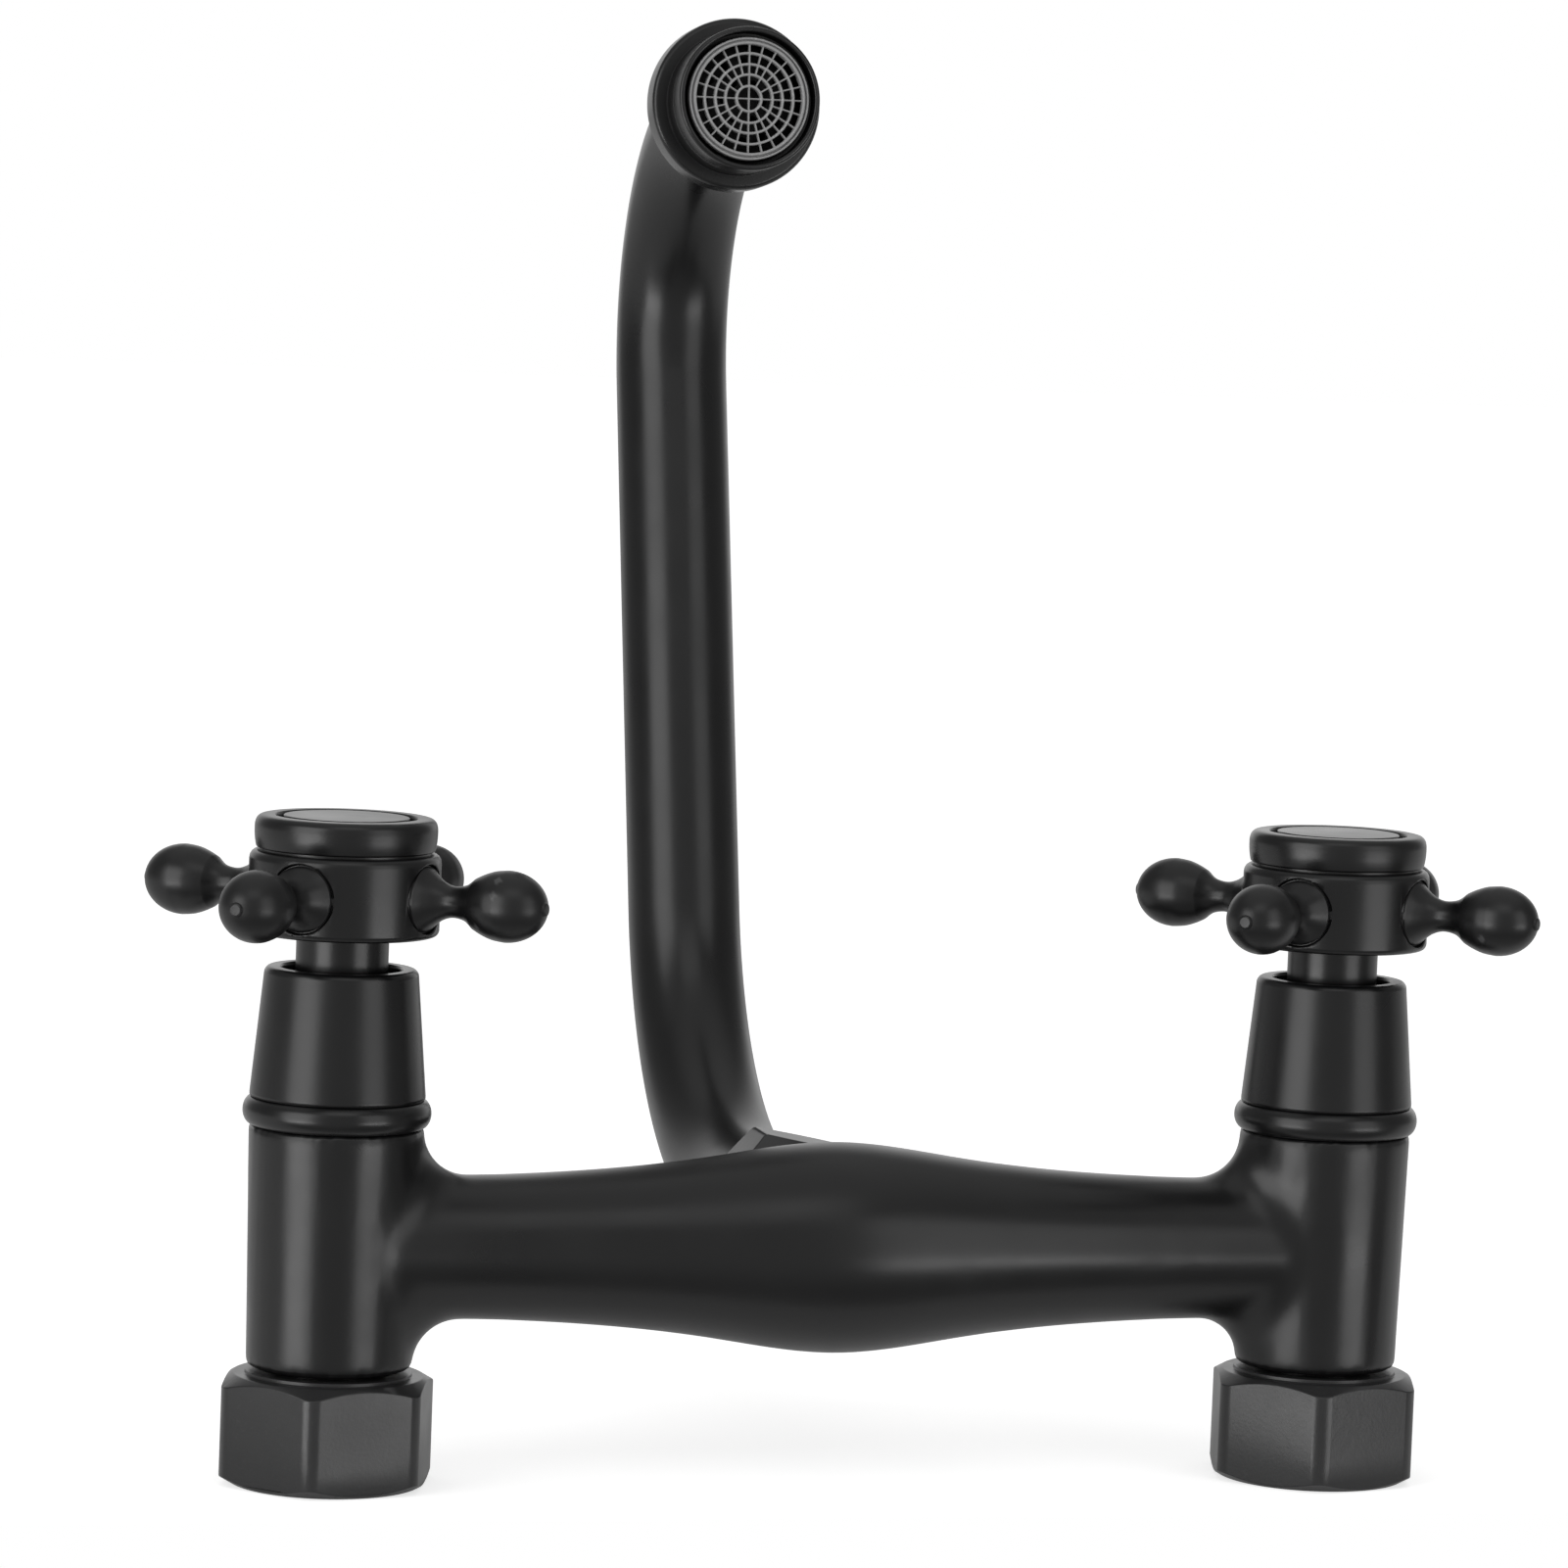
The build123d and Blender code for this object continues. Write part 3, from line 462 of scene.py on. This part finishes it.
def finish_piece(piece, name, finish, body, cad_node):
    """Names a piece, gives it its finish, hangs it on its body and hides the node it stands for."""
    piece.name = name
    piece.data.name = name
    piece.data.materials.clear()
    piece.data.materials.append(finishes[finish])
    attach(piece, body)
    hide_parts(cad_node)


# The casting
skin_voxel = 0.62
bridge_skin = 9.0
bridge_straight_end = 52.0
bridge_blend_start = 45.0
boss_edge = 14.3
boss_clear = 15.4
station_gap = 3.0


def bridge_profile(mesh):
    """Stations (x, radius) along the bridge, read from corners that lie on its turned skin."""
    corners = []
    for vertex in mesh.vertices:
        x, y, z = vertex.co / mm
        radius = hypot(y + bridge_out, z)
        if z < 0 and radius > bridge_skin and abs(x) < bridge_straight_end:
            corners.append((x, radius))
    stations = []
    for x, radius in sorted(corners):
        if not stations or x - stations[-1][0] > station_gap:
            stations.append((x, radius))
    return rounded(stations, steps=10)


def ramp(value, low, high):
    """0 below low, 1 above high, and a smooth step between them."""
    t = min(max((value - low) / (high - low), 0.0), 1.0)
    return t * t * (3 - 2 * t)


def true_bridge(piece, profile):
    """Sets the bridge's skin to its turned radius, fading out at the columns and the boss."""
    places = [x for x, radius in profile]
    blend_end = min(-places[0], places[-1])
    for vertex in piece.data.vertices:
        x, y, z = vertex.co / mm
        out = y + bridge_out
        radius = hypot(out, z)
        if radius < bridge_skin or not places[0] < x < places[-1]:
            continue
        share = 1 - ramp(abs(x), bridge_blend_start, blend_end)
        if z > 0:
            share *= ramp(hypot(x, out), boss_edge, boss_clear)
        after = bisect(places, x)
        (x0, radius0), (x1, radius1) = profile[after - 1], profile[after]
        true_radius = radius0 + (radius1 - radius0) * (x - x0) / (x1 - x0)
        growth = 1 + share * (true_radius / radius - 1)
        vertex.co = (x * mm, (out * growth - bridge_out) * mm, z * growth * mm)


def casting():
    """The solid's skin evened out and relaxed, so that the blends flow as in sanded metal."""
    piece = bpy.data.objects.new("tap_casting", frame["nodes"]["body"].data.copy())
    bpy.context.scene.collection.objects.link(piece)
    pick_only(piece)
    edit(piece)
    bpy.ops.mesh.select_all(action="SELECT")
    bpy.ops.mesh.remove_doubles(threshold=0.005 * mm)
    leave_edit()
    profile = bridge_profile(piece.data)
    apply_modifier(piece, "REMESH", mode="VOXEL", voxel_size=skin_voxel * mm)
    apply_modifier(piece, "SMOOTH", factor=0.5, iterations=8)
    true_bridge(piece, profile)
    pick_only(piece)
    bpy.ops.object.shade_smooth()
    finish_piece(piece, "tap_casting", "black_casting", "tap_body", "body")


# Nuts
def hexagon(flats, low, high, corner_round):
    """An upright hexagonal bar with rounded corners; one corner starts on the X axis."""
    bpy.ops.mesh.primitive_cylinder_add(
        vertices=6,
        radius=flats / sqrt(3) * mm,
        depth=(high - low) * mm,
        end_fill_type="NGON",
        location=(0, 0, (low + high) / 2 * mm),
        rotation=(0, 0, radians(30)),
    )
    piece = bpy.context.active_object
    bpy.ops.object.transform_apply(location=True, rotation=True, scale=True)
    corners = [vertex.co for vertex in piece.data.vertices]
    for edge in piece.data.edges:
        start, end = (corners[index] for index in edge.vertices)
        edge.select = abs(start.z - end.z) > 1 * mm
    for face in piece.data.polygons:
        face.select = False
    edit(piece)
    bpy.ops.mesh.select_mode(type="EDGE")
    bpy.ops.mesh.bevel(offset=corner_round * tan(radians(30)) * mm, segments=8, affect="EDGES")
    leave_edit()
    return piece


def chamfered_nut(flats, start, end, face_radius, corner_round, collar_radius, bore):
    """Hexagon turned down at 30 degrees at both ends, with a low collar and its bore."""
    past_corners = 0.62
    reach = past_corners * flats
    drop = (reach - face_radius) * tan(radians(30))
    nut = hexagon(flats, start - 1, end + 1 + nut_collar_height, corner_round)
    envelope = turned(
        [
            (face_radius, start),
            (reach, start + drop),
            (reach, end - drop),
            (face_radius, end),
            (collar_radius, end),
            (collar_radius, end + nut_collar_height),
        ],
        sides=128,
    )
    carve(nut, envelope, "INTERSECT")
    carve(nut, turned(bore, sides=128))
    soften_edges(nut, 0.16, segments=2, above=24)
    return nut


def inlet_thread(minor, major, start, end, pitch):
    """The ridge of the pipe thread inside a union nut: a wedge drawn once and wound up."""
    around = 64
    buried = 0.15
    half_width = 0.42 * pitch
    turns = (end - start) / pitch
    bpy.ops.mesh.primitive_circle_add(vertices=3, radius=1 * mm, fill_type="NOTHING")
    ridge = bpy.context.active_object
    wedge = [
        (major + buried, start - half_width),
        (minor, start),
        (major + buried, start + half_width),
    ]
    for corner, (radius, height) in zip(ridge.data.vertices, wedge):
        corner.co = (radius * mm, 0, height * mm)
    apply_modifier(
        ridge,
        "SCREW",
        angle=2 * pi * turns,
        screw_offset=(end - start) * mm,
        steps=int(around * turns),
        render_steps=int(around * turns),
        axis="Z",
        use_merge_vertices=False,
    )
    edit(ridge)
    bpy.ops.mesh.select_all(action="DESELECT")
    bpy.ops.mesh.select_non_manifold()
    bpy.ops.mesh.fill_holes(sides=3)
    bpy.ops.mesh.select_all(action="SELECT")
    bpy.ops.mesh.normals_make_consistent(inside=False)
    leave_edit()
    return ridge


def union_nut():
    bore = [
        (13.9, -1),
        (thread_major, 0.25),
        (thread_major, 8.2),
        (12.6, 8.3),
        (12.6, 13.0),
        (8.75, 13.0),
        (8.75, 17.5),
    ]
    nut = chamfered_nut(
        flats=29.0,
        start=0,
        end=nut_top_out,
        face_radius=13.8,
        corner_round=3.0,
        collar_radius=12.1,
        bore=bore,
    )
    ridge = inlet_thread(thread_minor, thread_major, start=0.9, end=7.3, pitch=1.81)
    smooth(nut)
    smooth(ridge)
    return join([nut, ridge])


def spout_nut():
    bore = [(10.35, 24.0), (10.35, 33.7), (9.25, 33.7), (9.25, 38.0)]
    nut = chamfered_nut(
        flats=24.0,
        start=25.0,
        end=36.0,
        face_radius=11.2,
        corner_round=1.0,
        collar_radius=10.6,
        bore=bore,
    )
    smooth(nut)
    return nut


# Union tails and washers, seen from the wall side
def union_tail():
    tail = turned(
        [
            (5.8, flange_out),
            (11.6, flange_out),
            (11.6, 12.7),
            (8.4, 12.7),
            (8.4, 22.8),
            (7.9, 23.3),
            (5.8, 23.3),
            (5.8, flange_out),
        ]
    )
    carve(tail, hexagon(flats=12.0, low=9.0, high=14.0, corner_round=0.5))
    soften_edges(tail, 0.12, segments=2)
    smooth(tail)
    return tail


def union_washer():
    washer = turned(
        [(7.2, 7.6), (11.5, 7.6), (11.5, flange_out), (7.2, flange_out), (7.2, 7.6)]
    )
    soften_edges(washer, 0.35, segments=4)
    smooth(washer)
    return washer


# Trim ring and cover
def trim_ring():
    waist = 12.25
    swell = 1.4
    height = cover_base_out - column_top_out
    bead = []
    for step in range(17):
        angle = pi * step / 16
        bead.append((waist + swell * sin(angle), column_top_out + height * (1 - cos(angle)) / 2))
    seat = [
        (11.5, cover_base_out),
        (11.5, column_top_out + 2.2),
        (10.5, column_top_out + 2.2),
        (10.5, column_top_out),
        (waist, column_top_out),
    ]
    ring = turned(bead + seat, sides=128)
    smooth(ring, angle=50)
    return ring


def cover():
    lip_out = cover_top_out - 1.6
    web_out = cover_base_out + 3.3
    sleeve = turned(
        [
            (11.5, cover_base_out),
            (12.6, cover_base_out),
            (12.75, cover_base_out + 0.3),
            (11.15, cover_top_out - 0.6),
            (10.65, cover_top_out),
            (8.85, cover_top_out),
            (8.65, cover_top_out - 0.2),
            (8.65, lip_out),
            (9.95, lip_out),
            (11.2, web_out + 1.5),
            (6.3, web_out + 1.5),
            (6.3, web_out),
            (11.4, web_out),
            (11.5, cover_base_out),
        ],
        sides=128,
    )
    soften_edges(sleeve, 0.28, segments=4, above=20)
    smooth(sleeve)
    return sleeve


# Cross handle
def arm_place(first_angle, quarter):
    """Upright becomes outward from the handle's axis, at the arms' height."""
    level = Matrix.Translation((0, 0, arm_out * mm))
    outward = Matrix.Rotation(first_angle + quarter * pi / 2, 4, "Z")
    return level @ outward @ Matrix.Rotation(pi / 2, 4, "Y")


def handle_hub(first_angle):
    """Hub with its neck, cap recess and four spot faces with a hole for the arms."""
    hub = turned(
        [
            (4.05, neck_out),
            (6.3, neck_out),
            (6.7, neck_out + 0.4),
            (6.7, hub_base_out),
            (12.95, hub_base_out),
            (13.4, hub_base_out + 0.12),
            (13.73, hub_base_out + 0.45),
            (13.85, hub_base_out + 0.9),
            (13.85, hub_top_out - 1.3),
            (13.76, hub_top_out - 0.75),
            (13.52, hub_top_out - 0.35),
            (13.18, hub_top_out - 0.09),
            (12.8, hub_top_out),
            (8.5, hub_top_out),
            (8.5, 88.9),
            (2.2, 88.9),
            (2.2, 87.1),
            (4.05, 87.1),
            (4.05, neck_out),
        ],
        sides=128,
    )
    for quarter in range(4):
        spot_face = turned([(2.45, 10.2), (2.45, arm_seat), (5.05, arm_seat), (5.05, 16.0)], sides=48)
        place(spot_face, arm_place(first_angle, quarter))
        carve(hub, spot_face)
    soften_edges(hub, 0.22, segments=3, above=25)
    smooth(hub)
    return hub


def handle_arm():
    """One arm on end: spigot, trumpet foot, thin neck, a crease and an egg-shaped knob."""
    foot = [(2.4, 10.3), (2.4, arm_seat), (4.75, arm_seat), (4.75, 13.4)]
    trumpet = rounded([(4.7, 13.45), (3.75, 14.5), (2.75, 16.0), (2.27, 17.8), (2.65, 19.9), (3.8, 21.5)])
    egg = rounded([(3.82, 21.53), (4.42, 22.8), (4.95, 24.4), (knob_radius, knob_reach)])
    nose_step = 4.6
    nose = []
    for step in range(1, 18):
        angle = radians(nose_step * step)
        nose.append((knob_radius * cos(angle), knob_reach + knob_nose * sin(angle)))
    pip = [(1.0, 32.3), (0.93, 32.48), (0.75, 32.57), (0.3, 32.6)]
    arm = turned(foot + trumpet + egg + nose + pip, sides=64)
    smooth(arm, angle=16)
    return arm


def handle_arms(first_angle):
    """Four copies of one arm, stood round the hub."""
    arm = handle_arm()
    arms = []
    for quarter in range(4):
        twin = copy_of(arm)
        place(twin, arm_place(first_angle, quarter))
        arms.append(twin)
    bpy.data.objects.remove(arm)
    return join(arms)


def handle_cap():
    """Barrel-shaped cap with a rounded rim and a shallow seat for the index disc."""
    floor = cap_top_out - 1.0
    side = rounded(
        [
            (12.4, hub_top_out + 0.3),
            (12.85, hub_top_out + 0.45),
            (13.0, hub_top_out + 0.9),
            (13.15, hub_top_out + 1.9),
            (13.2, hub_top_out + 2.9),
            (13.17, hub_top_out + 3.8),
            (12.95, hub_top_out + 4.5),
            (12.5, hub_top_out + 4.95),
            (11.95, cap_top_out),
        ]
    )
    rim = [(10.5, cap_top_out), (10.32, cap_top_out - 0.06), (10.2, cap_top_out - 0.25)]
    cap = turned(
        [(7.0, hub_top_out - 2.4), (8.45, hub_top_out - 2.4), (8.45, hub_top_out), (12.4, hub_top_out)]
        + side
        + rim
        + [(10.2, floor), (1.0, floor)],
        sides=128,
    )
    smooth(cap, angle=45)
    return cap


def index_disc():
    disc = turned([(9.1, cap_top_out - 1.0), (9.1, cap_top_out)], sides=128)
    soften_edges(disc, 0.2)
    smooth(disc)
    return disc


# Spout
def spout_tube():
    """A circle drawn up the riser, round both bends and down to the outlet, then given its wall."""
    bpy.ops.mesh.primitive_circle_add(
        vertices=96,
        radius=tube_radius * mm,
        fill_type="NOTHING",
        location=(0, -bridge_out * mm, riser_start * mm),
    )
    tube = bpy.context.active_object
    bpy.ops.object.transform_apply(location=True, rotation=True, scale=True)
    edit(tube)
    end = Vector((0, -bridge_out, riser_start))
    heading = 0.0

    def straight(length):
        step = Vector((0, -sin(heading), cos(heading))) * length
        bpy.ops.mesh.extrude_region_move(TRANSFORM_OT_translate={"value": step * mm})
        return end + step

    def bend(radius, angle, steps):
        centre = end + Vector((0, -cos(heading), -sin(heading))) * radius
        bpy.ops.mesh.spin(steps=steps, angle=angle, center=centre * mm, axis=(-1, 0, 0))
        return centre + Matrix.Rotation(angle, 3, "X") @ (end - centre)

    end = straight(riser_top - riser_start)
    end = bend(lower_bend, pi / 2 - rise_angle, 48)
    heading = pi / 2 - rise_angle
    end = straight(run_length)
    end = bend(upper_bend, pi / 2 + rise_angle - outlet_tilt, 64)
    heading = pi - outlet_tilt
    end = straight(last_straight)
    bpy.ops.mesh.select_all(action="SELECT")
    bpy.ops.mesh.remove_doubles(threshold=weld)
    bpy.ops.mesh.normals_make_consistent(inside=False)
    leave_edit()
    apply_modifier(tube, "SOLIDIFY", thickness=tube_wall * mm, offset=-1)
    smooth(tube)
    mouth = end + Vector((0, -sin(heading), cos(heading))) * tube_end
    return tube, mouth


# Outlet, drawn upright from the mouth back up the flow
def outlet_collar():
    collar = turned(
        [
            (10.4, 4.65),
            (11.35, 4.65),
            (11.35, 8.8),
            (12.8, 8.8),
            (13.2, 8.91),
            (13.49, 9.2),
            (13.6, 9.6),
            (13.6, 13.3),
            (13.49, 13.7),
            (13.2, 13.99),
            (12.8, 14.1),
            (11.6, 14.1),
            (10.75, 14.45),
            (10.4, 15.3),
            (10.4, 17.1),
            (9.05, 17.1),
            (9.05, 9.5),
            (8.0, 9.5),
            (8.0, 8.6),
            (10.4, 8.6),
            (10.4, 4.65),
        ],
        sides=128,
    )
    soften_edges(collar, 0.15, segments=2, above=50)
    smooth(collar)
    return collar


def aerator_housing():
    """Threaded ring: a plain side, a rounded rim and a deep dark recess round the grille."""
    housing = turned(
        [
            (10.62, 0.0),
            (10.85, 0.0),
            (11.1, 0.07),
            (11.28, 0.25),
            (11.35, 0.5),
            (11.35, 4.5),
            (10.35, 4.5),
            (10.35, 6.6),
            (9.75, 6.6),
            (9.75, 3.0),
            (10.5, 3.0),
            (10.5, 0.15),
            (10.62, 0.0),
        ],
        sides=128,
    )
    soften_edges(housing, 0.12, segments=2, above=50)
    smooth(housing)
    return housing


def aerator_grille():
    """Moulded grille: four round wires, their spokes and a double rim, melted into one."""
    melt_voxel = 0.08
    back = 1.9
    ring_radii = [2.0, 3.8, 5.42, 7.14]
    rim_radius = 8.55
    wire = 0.2
    wire_top = 0.8
    spoke = 0.15
    spoke_top = 0.68
    spoke_stretch = 3.5
    parts = []
    for radius in ring_radii:
        around = []
        for step in range(9):
            angle = pi * step / 8
            around.append((radius + wire * cos(angle), wire_top - wire * sin(angle)))
        parts.append(turned([around[-1], (radius - wire, back), (radius + wire, back)] + around))
    parts.append(
        turned(
            [
                (rim_radius, back),
                (9.65, back),
                (9.65, 0.75),
                (9.58, 0.65),
                (9.44, 0.6),
                (9.3, 0.65),
                (9.22, 1.1),
                (9.06, 1.1),
                (8.99, 0.4),
                (8.9, 0.32),
                (8.78, 0.3),
                (8.66, 0.33),
                (rim_radius, 0.45),
                (rim_radius, back),
            ],
            sides=128,
        )
    )
    inner_radii = [0.0] + ring_radii
    outer_radii = ring_radii + [rim_radius + 0.1]
    for inner, outer, count in zip(inner_radii, outer_radii, (4, 12, 24, 24, 24)):
        bpy.ops.mesh.primitive_cylinder_add(vertices=12, radius=spoke * mm, depth=(outer - inner) * mm)
        spokes = bpy.context.active_object
        stand = Matrix.Diagonal((spoke_stretch, 1, 1, 1))
        height = spoke_top + spoke_stretch * spoke
        lay = Matrix.Translation(((inner + outer) / 2 * mm, 0, height * mm))
        place(spokes, lay @ Matrix.Rotation(pi / 2, 4, "Y") @ stand)
        edit(spokes)
        bpy.ops.mesh.spin(steps=count, angle=2 * pi, dupli=True, center=(0, 0, 0), axis=(0, 0, 1))
        leave_edit()
        parts.append(spokes)
    grille = join(parts)
    apply_modifier(grille, "REMESH", mode="VOXEL", voxel_size=melt_voxel * mm)
    apply_modifier(grille, "SMOOTH", factor=0.5, iterations=2)
    apply_modifier(grille, "DECIMATE", ratio=0.5)
    pick_only(grille)
    bpy.ops.object.shade_smooth()
    return grille


# Everything in its place
casting()

for side, x, nut_turn, arm_turn in (
    ("left", -half_spacing, radians(12), radians(52)),
    ("right", half_spacing, radians(17), radians(48)),
):
    here = valve_place(x)
    handle = f"{side}_handle"
    for make, place_at, name, finish, body, cad_node in (
        (union_nut, valve_place(x, nut_turn), "inlet_nut", "black_nut", f"{side}_nut", "union_nut"),
        # The tails take the black coat of the turned parts. In the gap between the column end and the
        # nut, this black is also painted shade where bare brass would show.
        (union_tail, here, "inlet_tail", "black_turned", "tap_body", "union_tail"),
        (union_washer, here, "inlet_washer", "black_rubber", "tap_body", "union_washer"),
        (trim_ring, here, "bead_ring", "black_turned", "tap_body", "trim_ring"),
        (cover, here, "cover_sleeve", "black_turned", "tap_body", "cover"),
        (partial(handle_hub, arm_turn), here, "hub", "black_turned", handle, "handle_hub"),
        (partial(handle_arms, arm_turn), here, "arms", "black_knob", handle, "handle_arms"),
        (handle_cap, here, "cap", "black_turned", handle, "handle_cap"),
        (index_disc, here, "disc", "black_turned", handle, "index_disc"),
    ):
        piece = make()
        place(piece, place_at)
        finish_piece(piece, f"{side}_{name}", finish, body, f"{side}_{cad_node}")

nut = spout_nut()
place(nut, Matrix.Translation((0, -bridge_out * mm, 0)) @ Matrix.Rotation(radians(10.7), 4, "Z"))
finish_piece(nut, "swivel_nut", "black_nut", "tap_body", "spout_nut")

tube, mouth = spout_tube()
finish_piece(tube, "swan_neck", "black_tube", "spout", "spout_tube")

outlet = Matrix.Translation(mouth * mm) @ Matrix.Rotation(-outlet_tilt, 4, "X")
for make, name, finish, cad_node in (
    (outlet_collar, "outlet_flange", "black_turned", "outlet_collar"),
    (aerator_housing, "outlet_rim", "black_turned", "aerator_housing"),
    (aerator_grille, "outlet_grille", "grille_grey", "aerator_grille"),
):
    piece = make()
    place(piece, outlet)
    finish_piece(piece, name, finish, "spout", cad_node)

# The solids that still show take the finish of their own material
for material in frame["record"]["materials"]:
    for solid in frame["nodes"].values():
        for holder in solid.material_slots:
            if holder.material and holder.material.name.split(".")[0] == material["slot"]:
                holder.material = finishes[material["slot"]]


# Camera, where the photograph was taken from
camera_yaw = radians(13.93)
camera_pitch = radians(4.85)
camera_roll = radians(-2.24)
camera_target = Vector((-10.44, -102.75, 0)) * mm
camera_distance = 0.998
sensor_width = 36.0
focal_pixels = 6975
picture_pixels = 1601


def photo_camera():
    """Adds the camera and says which way is ahead of it and which way is level to its right."""
    ahead = Vector(
        (sin(camera_yaw) * cos(camera_pitch), sin(camera_pitch), cos(camera_yaw) * cos(camera_pitch))
    )
    level_down = (Vector((0, 1, 0)) - ahead * ahead.y).normalized()
    level_right = level_down.cross(ahead)
    right = cos(camera_roll) * level_right + sin(camera_roll) * level_down
    down = -sin(camera_roll) * level_right + cos(camera_roll) * level_down
    data = bpy.data.cameras.new("photo_camera")
    data.sensor_width = sensor_width
    data.lens = sensor_width * focal_pixels / picture_pixels
    data.clip_start = 0.05
    data.clip_end = 20.0
    camera = bpy.data.objects.new("photo_camera", data)
    axes = Matrix((right, -down, -ahead)).transposed()
    camera.matrix_world = Matrix.Translation(camera_target - ahead * camera_distance) @ axes.to_4x4()
    bpy.context.scene.collection.objects.link(camera)
    bpy.context.scene.camera = camera
    return ahead, right


ahead, right = photo_camera()


# Light and surroundings
ambient_level = 0.45
front_level = 0.42
ceiling_level = 0.55
floor_level = 0.4
room_level = 0.22
room_edge = 0.6
backdrop_edge = 0.95
wall_size = 6.0
wall_below = 0.03
wall_glow = 0.66
wall_gloss_share = 0.25


def softbox(name, place_at, width, length, brightness):
    """A rectangular lamp of even brightness, where 1 is as bright as white paper."""
    data = bpy.data.lights.new(name, "AREA")
    data.shape = "RECTANGLE"
    data.size = width
    data.size_y = length
    data.energy = brightness * pi * width * length
    lamp = bpy.data.objects.new(name, data)
    toward = (middle - place_at).normalized()
    side_axis = toward.cross(out_from_wall).normalized()
    up_axis = side_axis.cross(toward)
    axes = Matrix((side_axis, up_axis, -toward)).transposed()
    lamp.matrix_world = Matrix.Translation(place_at) @ axes.to_4x4()
    bpy.context.scene.collection.objects.link(lamp)


middle = Vector((0, -0.09, 0.02))
out_from_wall = Vector((0, -1, 0))
for name, swing, height, distance, width, length, brightness in (
    ("left_low_box", -44, -0.3, 2.0, 1.2, 0.3, 6.4),
    ("left_high_box", -47, 0.64, 2.0, 1.4, 1.58, 2.4),
    ("right_low_box", 50, -0.3, 2.0, 1.15, 0.3, 4.4),
    ("right_high_box", 50, 0.64, 2.0, 1.15, 1.58, 1.15),
    ("overhead_box", 4, 0.95, 0.75, 0.75, 0.5, 0.7),
):
    spot = middle + (right * sin(radians(swing)) - ahead * cos(radians(swing))) * distance
    spot.y = -height
    softbox(name, spot, width, length, brightness)


def white_surroundings(behind):
    """White for the camera and behind the tap; gloss shows dark sides and a grey front."""
    world = bpy.data.worlds.new("white_studio")
    bpy.context.scene.world = world
    world.use_nodes = True
    tree = world.node_tree
    background = tree.nodes["Background"]
    paths = node(tree, "LightPath")
    heading = node(tree, "TexCoord").outputs["Generated"]
    room = []
    for direction, level in (
        (behind, 1.0),
        (-behind, front_level),
        ((0, -1, 0), ceiling_level),
        ((0, 1, 0), floor_level),
    ):
        facing = node(tree, "VectorMath", {0: heading, 1: direction}, operation="DOT_PRODUCT")
        room.append(
            remapped(
                tree,
                facing.outputs["Value"],
                room_edge,
                backdrop_edge,
                room_level,
                level,
                interpolation_type="SMOOTHSTEP",
            )
        )
    gloss = paths.outputs["Is Glossy Ray"]
    lit = remapped(tree, gloss, to_low=ambient_level, to_high=strongest(tree, *room))
    strength = strongest(
        tree, paths.outputs["Is Camera Ray"], paths.outputs["Is Transmission Ray"], lit
    )
    tree.links.new(strength, background.inputs["Strength"])
    background.inputs["Color"].default_value = (1, 1, 1, 1)


def pale_wall():
    """The pale surface that the nuts stand against, seen from the front side only."""
    bpy.ops.mesh.primitive_grid_add(
        x_subdivisions=4,
        y_subdivisions=4,
        size=wall_size,
        rotation=(pi / 2, 0, 0),
        location=(0, 0, wall_size / 2 - wall_below),
    )
    wall = bpy.context.active_object
    bpy.ops.object.transform_apply(location=True, rotation=True, scale=True)
    wall.name = "pale_wall"
    material = bpy.data.materials.new("pale wall")
    material.use_nodes = True
    tree = material.node_tree
    tree.nodes.clear()
    output = node(tree, "OutputMaterial")
    dust = noise(tree, object_place(tree), 30.0, 2.0)
    tone = blended(tree, dust, (0.8, 0.8, 0.8), (0.84, 0.84, 0.84))
    paint = node(tree, "BsdfDiffuse", {"Color": tone})
    paths = node(tree, "LightPath")
    shown = strongest(
        tree,
        paths.outputs["Is Camera Ray"],
        paths.outputs["Is Transmission Ray"],
        product(tree, paths.outputs["Is Glossy Ray"], wall_gloss_share),
    )
    glow = node(tree, "Emission", {"Strength": product(tree, shown, wall_glow)})
    lit = node(tree, "AddShader", {0: paint.outputs[0], 1: glow.outputs[0]})
    clear = node(tree, "BsdfTransparent")
    behind = node(tree, "NewGeometry").outputs["Backfacing"]
    whole = node(tree, "MixShader", {0: behind, 1: lit.outputs[0], 2: clear.outputs[0]})
    tree.links.new(whole.outputs[0], output.inputs["Surface"])
    wall.data.materials.append(material)


white_surroundings(ahead)
pale_wall()
bpy.context.scene.view_settings.view_transform = "Standard"
